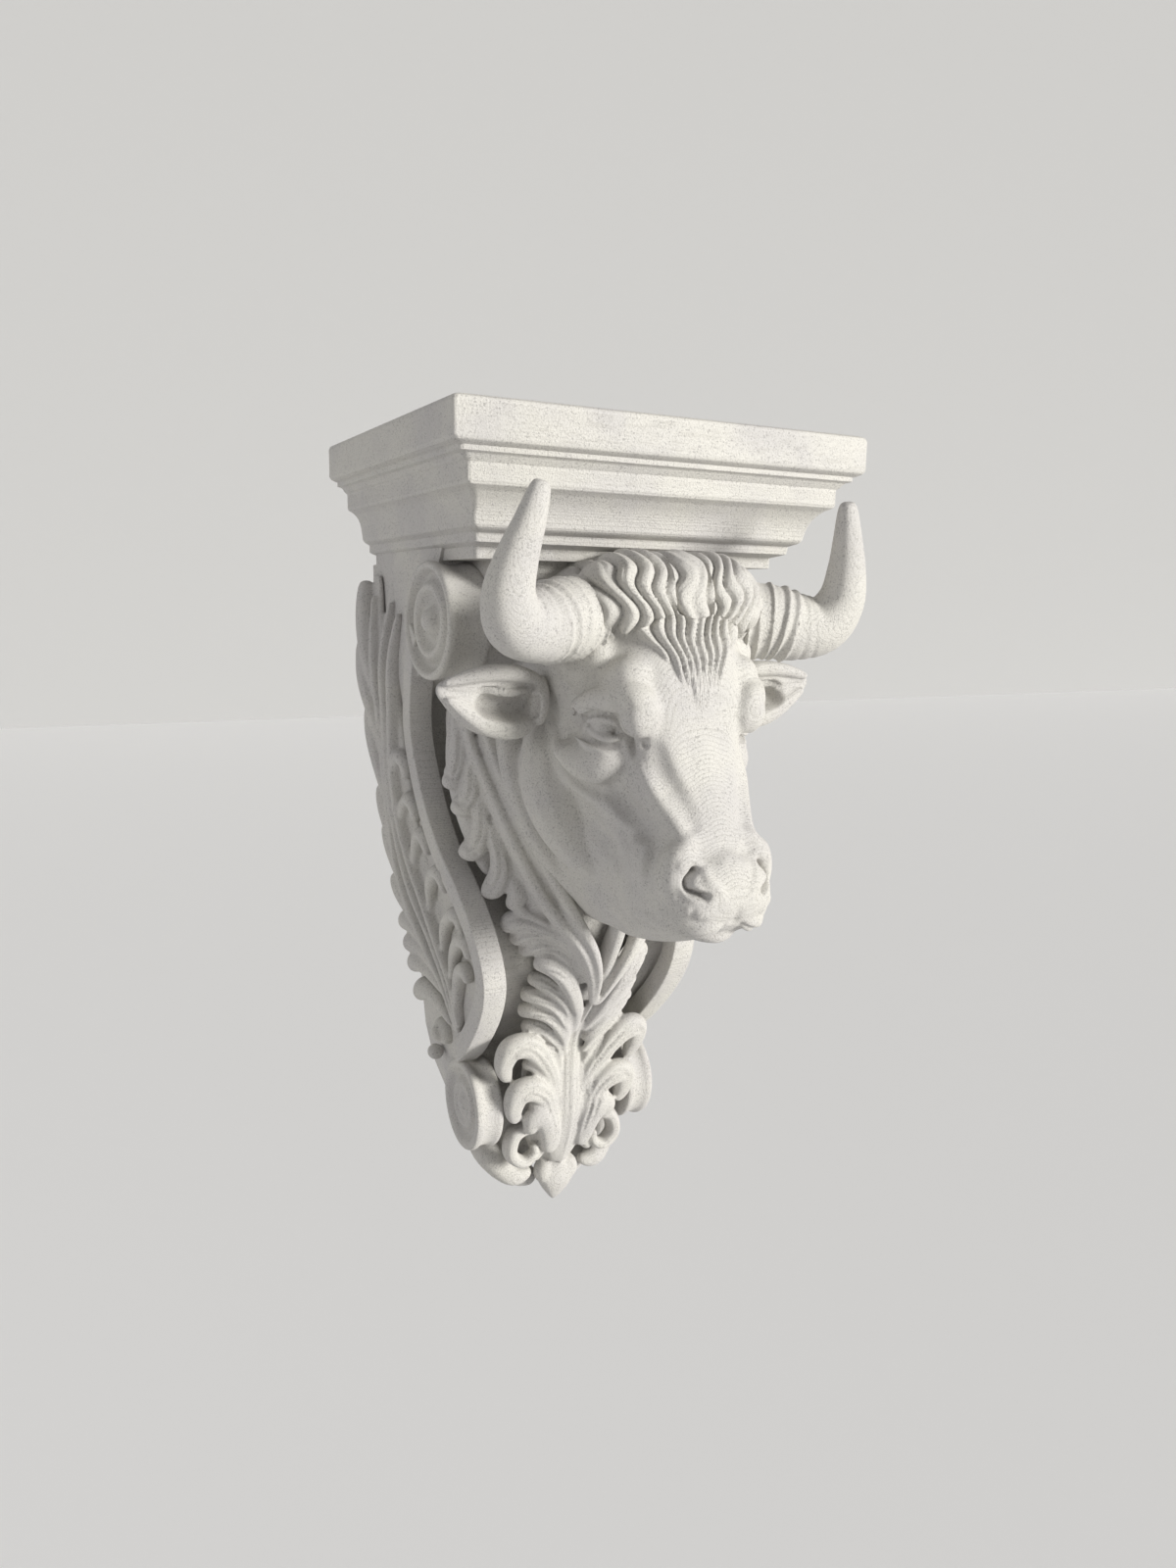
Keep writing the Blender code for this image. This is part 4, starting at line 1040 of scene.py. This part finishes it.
# %% Ribs and husks
RIBS = (
    ((24.6, 34.6, 46), (23.8, 35.6, 52), (22.1, 37.4, 57.9), (19.6, 39.2, 64.6), (16.6, 41, 72),
     (12.8, 42.5, 80), (8.9, 43.9, 85.8), (5.7, 45.4, 90.6), (3, 44, 96.2), (0.8, 40.4, 103)),
    ((22.2, 36.6, 46), (21.4, 38, 52), (19.8, 39.8, 57.6), (17.2, 41.6, 64), (13.9, 43.2, 71.4),
     (9.9, 44.6, 79), (6.6, 46, 85.4), (3.9, 46.6, 90.6), (1.8, 44.6, 96.4), (0.2, 40.4, 103.2)))
HUSKS = (
    ((25, 33, 47), (24.6, 33.8, 53), (24.4, 33.2, 57.2), (25, 31.8, 59.8), (25.8, 30.6, 59.4)),
    ((23.6, 35.4, 54), (23.1, 35.9, 59.5), (22.8, 34.4, 63), (23.6, 32.6, 64.6), (24.6, 31.4, 64)),
    ((22.4, 36.4, 60), (21.1, 35.8, 66.3), (20.8, 34.4, 70.8), (21.8, 32.4, 73), (23.2, 31.2, 72.2)),
    ((20.6, 37.2, 66.5), (18.6, 37.4, 72.4), (17.9, 36.8, 76.8), (18.6, 34.8, 79.8), (20, 33.6, 79.6)))
RIB_WIDTHS = (1, 1.15, 1.2, 1.25, 1.3, 1.3, 1.2, 1, 0.8, 0.6)
RIB_HEIGHTS = (2.2, 2.4, 2.4, 2.4, 2.3, 2.2, 2, 1.7, 1.3, 0.8)
UNDER_RIBS = (
    # body under the ribs
    (((22.4, 26, 46), (20.4, 29, 58), (15, 33, 72), (9, 36, 84), (3, 36.5, 97)), (2.6, 3.4, 4.2, 4.2, 3),
     (7, 7, 7, 6.4, 5)),
    # between the two ribs
    (((20.6, 38, 48), (18.8, 39.6, 58), (15.4, 41.4, 67), (11.4, 43, 75.5), (7, 44.6, 84)),
     (1.6, 2, 2.2, 2, 1.4), (2.4, 2.8, 3, 2.8, 2)),
    # under the husks
    (((23.8, 29.2, 48), (23.2, 30.2, 58), (21, 31.2, 68), (18.2, 32.4, 78)), (1.6, 2.4, 2.6, 2),
     (2, 2.8, 3, 2.4)),
    # beside the neck
    (((18.4, 38.6, 54), (14.8, 40.6, 65), (10, 42.6, 75), (5.4, 44.6, 84)), (1.8, 2.6, 2.6, 1.8),
     (2.6, 3, 3, 2.2)),
    # under the inner rib
    (((21.4, 35, 48), (18.4, 38.2, 61), (14.6, 40.2, 71), (10.8, 41.6, 80), (5.4, 43.2, 90)),
     (1.6, 2, 2.2, 2.2, 1.6), (1.8, 2.2, 2.4, 2.4, 1.8)),
)


def rib_leaves(clay, side):
    """The long ribs beside the neck and their hanging husks."""
    for rib in RIBS:
        roll(clay, spots(side, rib), RIB_WIDTHS, RIB_HEIGHTS, blunt=5, rings=70)
    model(clay, side, UNDER_RIBS)
    for husk in HUSKS:
        roll(clay, spots(side, husk), [0.9, 1.6, 2.1, 2.2, 1.8], [1.1, 1.9, 2.4, 2.4, 2.0],
             blunt=4, rings=48)


print(len(RIBS), "ribs and", len(HUSKS), "husks on each side")

# %% [markdown]
# The lobes start at the leaf's edge, bend over and run together in its middle, as the veins of
# an acanthus do. The palm's outer leaves end in hooks, and a curl stands beside the drop.

# %% The leaf under the chin and the palm below
LEAF_EDGE = (
    (17.6, 36.6, 74.5), (15.8, 37.2, 79.5), (14.6, 38, 83.4), (11.6, 40, 85.6), (7.6, 43, 88.8),
    (5.2, 44.4, 92), (1.8, 42.2, 99.5))
# The lobes of the leaf under the chin, from the top down.
LOBES = (
    ((15.9, 36.6, 83.2), (15.3, 38.4, 80.6), (16.4, 38, 76.8)),
    ((16.4, 34.6, 87.2), (14.6, 37, 86), (11.7, 39.6, 86.8), (8.6, 42.4, 88.4), (5.6, 44.4, 91.8)),
    ((14.6, 34.6, 90.2), (12.8, 37.2, 88.6), (10, 40, 88.8), (7.2, 42.4, 90.8), (4, 43.2, 95.8)),
    ((12.9, 35, 92.6), (11.2, 38, 90.8), (8.6, 40.4, 90.8), (6.2, 42, 93.4), (3.4, 42, 98)),
    ((11.4, 37.6, 94), (8.8, 40.2, 94.6), (6.1, 41.2, 97.8), (3, 38.6, 104.1), (1, 33.5, 110.9)),
    ((11.4, 35, 97.6), (8.9, 37.2, 98.6), (6.6, 38.6, 101), (4.2, 37.4, 105.4), (1.4, 33.4, 111.2)),
    ((11.9, 33, 101.4), (9.4, 35.4, 101.8), (7, 37, 103.4), (4.6, 36.6, 107.4), (1.6, 32.6, 113.4)),
    ((11.6, 31.4, 105.4), (9.4, 34, 105), (7, 35.8, 106.3), (4.2, 35, 110.2), (1.8, 31.8, 116.2)),
    ((10.4, 30.2, 109.6), (8.4, 32.2, 108.8), (6.2, 33.4, 110.4), (4.2, 32.8, 113.8), (2.4, 31.2, 118.9)),
    ((8.8, 29.4, 113.4), (7, 31, 112.6), (5.2, 31.8, 114), (3.8, 31.2, 117.2), (2.8, 30.6, 121.6)))
LOBE_WIDTHS = (
    (1.3, 1.5, 0.7), (2, 1.9, 1.4, 1, 0.6), (1.7, 1.6, 1.2, 0.9, 0.6), (1.6, 1.5, 1.2, 0.9, 0.6),
    (1.7, 1.7, 1.5, 1.2, 0.7), (1.6, 1.5, 1.2, 0.9, 0.6), (1.7, 1.5, 1.2, 0.9, 0.6),
    (1.7, 1.5, 1.2, 0.9, 0.6), (1.5, 1.4, 1.1, 0.8, 0.5), (1.3, 1.2, 0.9, 0.7, 0.5))
# The palm's hooked leaves, and the small lobes between them.
HOOKS = (
    ((13.2, 29.6, 120.2), (14.4, 30.6, 116.4), (13.6, 32.4, 112.6), (10.4, 33.4, 112.2), (7, 32.4, 115.9),
     (4, 30.8, 121.4), (2.9, 30.4, 127.5)),
    ((11.2, 29.4, 129.2), (12.2, 30.2, 126), (11.6, 31.4, 122.4), (8.8, 32, 121.8), (5.6, 31, 124.9),
     (3.8, 30.4, 130.3), (2.9, 29.2, 135.6)),
    ((8, 29.6, 132), (8.2, 30.6, 128.9), (6.2, 31, 128.2), (4.4, 30.2, 131.4), (3.4, 28.6, 137.4)))
INNER_LOBES = (
    ((9.8, 29.8, 118), (8.2, 31, 117), (5.8, 30.8, 120), (4, 30.4, 125.6)),
    ((8.2, 29.6, 126.6), (6.8, 30.6, 125.8), (5, 30.2, 128.6), (3.8, 29.6, 133.4)))
HOOK_WIDTHS, HOOK_HEIGHTS = (1.7, 2.1, 2.5, 2.5, 2.1, 1.5, 0.8), (1.5, 2.0, 2.3, 2.2, 1.9, 1.5, 0.9)
# The palm's straight veins: out, down, and how far they close in on the middle.
STEM_OUTS = (
    (38, 104, 1), (31.4, 112, 0.85), (30.4, 121, 0.85), (30.4, 129, 0.9), (28.6, 136, 0.75),
    (26.4, 141.5, 0.45))
# The curl beside the drop winds round this middle, by turns in radians with their radii.
CURL_MIDDLE = (8.3, 27, 135.8)
CURL_TURNS = ((-2.6, 4.4), (-1.5, 4.2), (-0.4, 4), (0.7, 3.9), (1.8, 3.7), (2.9, 3.2), (4, 2.4), (5, 1.6))
UNDER_CURL = (
    # behind the curl
    (((13.4, 12, 133), (13.6, 18.5, 138.6), (9.6, 23.2, 143.6), (5.4, 24, 143.4)), (2.2, 3, 2.4, 1.6),
     (2.6, 3.2, 2.6, 1.8)),
    # beside the drop
    (((10.4, 12, 140), (7.6, 17, 145), (3, 21, 147.5)), (2.6, 3.4, 2.4), (3, 3.6, 2.6)),
)
LEAF_FLOOR = (
    # thickness of the leaf
    (((0, 38, 84), (0, 35, 98), (0, 28.6, 110), (0, 27.6, 121), (0, 27, 132), (0, 22, 143)),
     (6, 8.4, 8, 9.4, 9.6, 5.8), (5, 4.6, 3.4, 3.2, 3.2, 2.6), dict(blunt=3)),
    # middle rib
    (((0, 39.4, 102.5), (0, 31.8, 112), (0, 30.7, 121), (0, 30.7, 129), (0, 28.8, 136), (0, 26.4, 142)),
     (0.5, 0.66, 0.72, 0.72, 0.62, 0.4), (1.1, 1.3, 1.3, 1.2, 1.1, 0.7), dict(blunt=4, rings=54)),
    # drop
    (((0, 23.6, 141), (0, 24.2, 145.4), (0, 23.4, 151.3)), (2.2, 4, 1), (2.4, 3.2, 1)),
)
DROP_SHOULDER = ((2.6, 24.4, 144), (2.2, 2.4, 2.6))
CHIN_STEM = (
    # rib below the chin
    (((0.4, 50, 81.5), (0.6, 46.4, 88), (0.2, 42.8, 95), (0, 39.8, 101.5)), (1.6, 1.5, 1.3, 0.6),
     (2, 2.2, 2.2, 1)),
)


def middle_leaf(clay, side):
    """The acanthus under the chin and the lower palm, half of it on each side."""
    roll(clay, spots(side, LEAF_EDGE), [0.6, 0.9, 1.0, 1.0, 0.9, 0.8, 0.6],
         [0.9, 1.3, 1.4, 1.4, 1.3, 1.2, 0.8], blunt=4, rings=54)
    for lobe, widths in zip(LOBES, LOBE_WIDTHS):
        roll(clay, spots(side, lobe), [width * 1.16 for width in widths], [width * 1.2 for width in widths],
             blunt=3.2, rings=44)
    for across in (1.35, 2.65, 3.9):
        bulge = -0.06 * across ** 2
        stem = [(across * share, out + bulge, down) for out, down, share in STEM_OUTS]
        roll(clay, spots(side, stem), [0.45, 0.62, 0.68, 0.68, 0.6, 0.4], [1.1, 1.3, 1.3, 1.2, 1.1, 0.7],
             blunt=4, rings=54)
    for hook in HOOKS:
        count = len(hook)
        roll(clay, spots(side, hook), HOOK_WIDTHS[:count], HOOK_HEIGHTS[:count], blunt=3.4, rings=54)
    for lobe in INNER_LOBES:
        roll(clay, spots(side, lobe), [1.4, 1.8, 1.6, 0.9], [1.3, 1.6, 1.4, 0.9], blunt=3, rings=40)
    across, out, down = CURL_MIDDLE
    curl = [spot(side * (across + radius * 0.92 * math.sin(angle)), out + 0.25 * angle,
                 down - radius * math.cos(angle)) for angle, radius in CURL_TURNS]
    roll(clay, curl, [1.3, 1.45, 1.5, 1.5, 1.4, 1.2, 1.0, 0.8], [2.2, 2.4, 2.4, 2.4, 2.2, 2.0, 1.6, 1.3],
         blunt=5, rings=60)
    model(clay, side, UNDER_CURL)


print(len(LOBES), "lobes and", len(HOOKS), "hooks on each side")

# %% [markdown]
# A floor of clay under the ribs closes the leaf. Once all is melted, the tool cuts two grooves
# along each husk and lobe, which leaves a rounded vein between them.

# %% Melt the leaves in front and cut their grooves
clay = bmesh.new()
model(clay, 1, LEAF_FLOOR)
for side in BOTH:
    model(clay, side, [DROP_SHOULDER])
model(clay, 1, CHIN_STEM)
for side in BOTH:
    rib_leaves(clay, side)
    middle_leaf(clay, side)
leaves = melt(clay, "front_leaves", voxel=0.30, smoothing=3)
skin = Skin(leaves)
ABOVE = 2.0             # a groove's line runs this far above the leaf, and is laid on it
for side in BOTH:
    for husk in HUSKS:
        for shift in (-0.8, 0.8):
            line = [(across + shift, out + ABOVE, down - 0.6) for across, out, down in husk]
            skin.draw(spots(side, line), 0.6, [0.1, 0.4, 0.45, 0.2], steps=30)
    for lobe, widths in zip(LOBES, LOBE_WIDTHS):
        if len(lobe) == 5:
            for shift in (-0.45, 0.45):
                line = [(across, out + ABOVE, down + shift * width)
                        for (across, out, down), width in zip(lobe[:4], widths)]
                skin.draw(spots(side, line), 0.5, [0.05, 0.4, 0.4, 0.1], steps=36)
    for hook in HOOKS[:2]:
        for shift in (-0.5, 0.5):
            line = [(across + shift, out + ABOVE, down + shift) for across, out, down in hook[1:]]
            skin.draw(spots(side, line), 0.6, [0.05, 0.45, 0.5, 0.4, 0.1], steps=36)
skin.rub()
thin_out(leaves, HEAVIEST)
finish(leaves)

# %% [markdown]
# ## The leaves on the sides
# A long leaf climbs each side panel. Its lobes scallop the edge at the wall, and small curls
# stand beside the band.

# %% Side leaves
# Places on a side panel are out and down. The panel itself gives how far across they are.
# First the long veins, then the lobes at the wall, the curls beside the band and the thin
# sheets of clay below them all.
FRONDS = (
    ((23, 111.5), (18.6, 104), (11.6, 97), (7.2, 89), (5.6, 81), (5.6, 70), (6, 60), (6.4, 50), (6.8, 40),
     (6.6, 28)),
    ((23.4, 111), (20.6, 102.6), (14.2, 94.4), (10, 87), (8.2, 80), (7.2, 70), (7.4, 60), (8.6, 50),
     (10.4, 40), (13.2, 29)),
    ((24, 110), (22.6, 101.6), (17.6, 94), (13.4, 86.4), (10.8, 79), (9, 70), (9.2, 60), (11, 50),
     (13.6, 40), (17.2, 31)))
WALL_LOBES = (
    ((19, 111.4), (12.6, 107.8), (8, 107), (4.6, 109.6)),
    ((17.6, 106), (11, 102.6), (6.4, 101.6), (3.2, 103.6)),
    ((16, 103), (10, 98.8), (5.6, 97.6), (2.2, 99.4)),
    ((13, 99.5), (8, 94.8), (4.6, 93.2), (1.6, 94.8)),
    ((11, 97), (6.6, 91), (3.8, 87), (1.8, 83.6)),
    ((8.4, 91), (5.4, 84), (3.6, 78), (1.8, 73)),
    ((6.6, 84), (4.4, 76), (3.2, 70), (2, 65)),
    ((5.8, 74), (3.6, 64), (2.2, 56), (1.6, 49)),
    ((5.6, 62), (3.6, 52), (2.2, 44), (1.8, 36)),
    ((5.8, 50), (4.2, 40), (3.2, 33), (3, 25)))
CURLS = (
    ((5.6, 70), (8, 63), (11.2, 58.4), (13.4, 59.6), (12.6, 62.6)),
    ((7.4, 78), (9.6, 70.4), (13, 66.4), (15.6, 68), (14.6, 70.6)),
    ((10.4, 84), (12.8, 77), (16.8, 72.6), (19.6, 73.6), (19, 76.4)),
    ((14.6, 91), (17.4, 83.4), (22.6, 79), (26, 79.4), (25.6, 82.4)),
    ((18.6, 98), (21.8, 91), (27.4, 86.4), (31.2, 85.6), (31.4, 88.6)),
    ((21.6, 103), (24.6, 96), (29.4, 91), (33.4, 90.2), (33.2, 93.2)),
    ((23.2, 108), (25, 102), (27.8, 97.4), (30.6, 96.4), (30.8, 98.8)))
SHEETS = (
    ((5.4, 24), (5.2, 40), (4.8, 56), (5, 72), (7.6, 86), (12.6, 97), (19, 106)),
    ((11.6, 25), (9.6, 40), (8.6, 54), (9.4, 70), (12.4, 82), (17.4, 93), (22.6, 104)))
WALL_GAP = 0.02         # keeps the leaf's back out of the plane of the block's back
PANEL_FLARE = 2.6       # the leaf stands this much further out at the wall


def on_panel(side, out, down, rise=0.0):
    """Return a place on a side panel, whose leaf flares outwards as it nears the wall."""
    half, _ = band_at(min(max(down, 41), 118))
    flare = PANEL_FLARE * max(0.0, 1 - out / 14)
    return spot(side * (half - 0.7 + flare + rise), out, down)


def side_leaf(clay, side):
    """The long leaf on a side panel: fronds, lobes at the wall edge, and curls beside the band."""
    outward = Vector((side, 0, 0))
    for sheet in SHEETS:
        roll(clay, [on_panel(side, *place, -1.3) for place in sheet], [2.6, 3.8, 3.8, 4.0, 4.0, 3.6, 2.0],
             [1.0, 1.3, 1.3, 1.3, 1.3, 1.2, 0.8], outward, blunt=4, rings=60)
    for frond in FRONDS:
        roll(clay, [on_panel(side, *place, 0.2) for place in frond],
             [0.7, 0.95, 1.05, 1.1, 1.1, 1.1, 1.1, 1.1, 1.0, 0.7],
             [1.3, 1.8, 2.0, 2.0, 2.0, 1.9, 1.8, 1.7, 1.5, 1.0], outward, blunt=5, rings=70)
    for lobe in WALL_LOBES:
        roll(clay, [on_panel(side, *place) for place in lobe], [1.0, 1.8, 2.4, 2.3], [1.1, 1.9, 2.3, 2.1],
             outward, blunt=3)
    for curl in CURLS:
        roll(clay, [on_panel(side, *place, 0.3) for place in curl], [0.7, 1.15, 1.4, 1.5, 1.2],
             [0.9, 1.4, 1.7, 1.7, 1.3], outward, blunt=3.4)
    ball(clay, on_panel(side, 13.4, 114.6, -0.3), (2.2, 3.3, 2.8))
    ball(clay, on_panel(side, 13.8, 114.8, 1.6), (1.3, 1.6, 1.5))
    ball(clay, on_panel(side, 9.8, 120.4), (1.7, 1.8, 1.6))


def cut_back(thing):
    """Cut a piece flat just short of the wall and close it."""
    shape = bmesh.new()
    shape.from_mesh(thing.data)
    cut = bmesh.ops.bisect_plane(shape, geom=shape.verts[:] + shape.edges[:] + shape.faces[:], dist=1e-4,
                                 plane_co=(0, -WALL_GAP, 0), plane_no=(0, 1, 0), clear_outer=True)
    rim = [item for item in cut["geom_cut"] if isinstance(item, bmesh.types.BMEdge)]
    bmesh.ops.holes_fill(shape, edges=rim, sides=0)
    shape.to_mesh(thing.data)
    shape.free()


for side in BOTH:
    clay = bmesh.new()
    side_leaf(clay, side)
    leaf = melt(clay, "side_leaf_" + NAMES[side], voxel=0.30, smoothing=3)
    cut_back(leaf)
    finish(leaf)

# %% [markdown]
# ## Floor, light and camera
# A pale floor and backdrop and a pale sky let the carving show. The main light is a wide sun
# from the right, in front and rather low, so that the horn's shadow falls on the cap, as on
# the real one. A small soft lamp on the left fills the shaded cheek a little.

# %% Floor and lamps


def matt(name, colour, glow):
    """A plain matt material that gives off a little light of its own."""
    material = bpy.data.materials.new(name)
    material.use_nodes = True
    shader = material.node_tree.nodes["Principled BSDF"]
    shader.inputs["Base Color"].default_value = colour
    shader.inputs["Roughness"].default_value = 0.9
    shader.inputs["Emission Color"].default_value = (1.0, 0.99, 0.98, 1)
    shader.inputs["Emission Strength"].default_value = glow
    return material


def sheet(name, place, grey, glow):
    """A large pale sheet of the studio."""
    shape = bmesh.new()
    bmesh.ops.create_grid(shape, x_segments=1, y_segments=1, size=6, matrix=place)
    thing = stand(shape, name)
    thing.data.materials.append(matt("pale_" + name, (grey, grey, grey, 1), glow))
    return thing


floor = sheet("floor", Matrix.Translation((0, 0, -0.30)), 0.72, 0.12)
backdrop = sheet("backdrop", Matrix.Translation((0, 3, 0)) @ Matrix.Rotation(math.pi / 2, 4, "X"),
                 0.37, 0.05)

world = bpy.data.worlds.new("studio")
world.use_nodes = True
world.node_tree.nodes["Background"].inputs["Color"].default_value = (0.90, 0.89, 0.89, 1)
world.node_tree.nodes["Background"].inputs["Strength"].default_value = 0.34
bpy.context.scene.world = world
AIM = Vector((0, -0.03, 0.0))


def lamp(name, kind, power, colour, way):
    """A light that shines the way it is told."""
    data = bpy.data.lights.new(name, kind)
    data.energy = power
    data.color = colour
    thing = bpy.data.objects.new(name, data)
    bpy.context.scene.collection.objects.link(thing)
    thing.rotation_euler = way.to_track_quat("-Z", "Y").to_euler()
    return thing


fill_place = Vector((-0.95, -0.22, 0.25))
fill = lamp("fill", "AREA", 1.3, (0.97, 0.97, 1.0), AIM - fill_place)
fill.location = fill_place
fill.data.size = 0.25
key = lamp("key", "SUN", 4.5, (1.0, 0.985, 0.945), Vector((-0.62, 0.76, -0.20)))
key.data.angle = math.radians(20)
print("lights:", fill.name, "and", key.name)

# %% [markdown]
# The camera stands where the picture was taken from: in front and to the left, five
# centimetres above the middle and so below the cap's top, looking slightly down.

# %% Camera
YAW, PITCH, ROLL = math.radians(28.07), math.radians(-9.38), math.radians(0.93)
FOCAL = 1121.7          # in pixels of a picture that is 1600 pixels high
PICTURE_HIGH = 1600
SENSOR = 36             # in millimetres
EYE = (-0.0947, -0.2137, 0.047)
ahead = Vector((math.sin(YAW) * math.cos(PITCH), math.cos(YAW) * math.cos(PITCH), math.sin(PITCH)))
level = Vector((math.cos(YAW), -math.sin(YAW), 0))
upright = level.cross(ahead)
right = level * math.cos(ROLL) + upright * math.sin(ROLL)
above = upright * math.cos(ROLL) - level * math.sin(ROLL)
camera_data = bpy.data.cameras.new("camera")
camera_data.sensor_width = SENSOR
camera_data.lens = FOCAL / PICTURE_HIGH * SENSOR
camera_data.clip_start = 0.01
camera = bpy.data.objects.new("camera", camera_data)
bpy.context.scene.collection.objects.link(camera)
camera.matrix_world = Matrix.Translation(EYE) @ Matrix((right, above, -ahead)).transposed().to_4x4()
print("camera at", EYE, "with a lens of", round(camera_data.lens, 1), "mm")
bpy.context.scene.camera = camera
bpy.context.scene.view_settings.view_transform = "Standard"
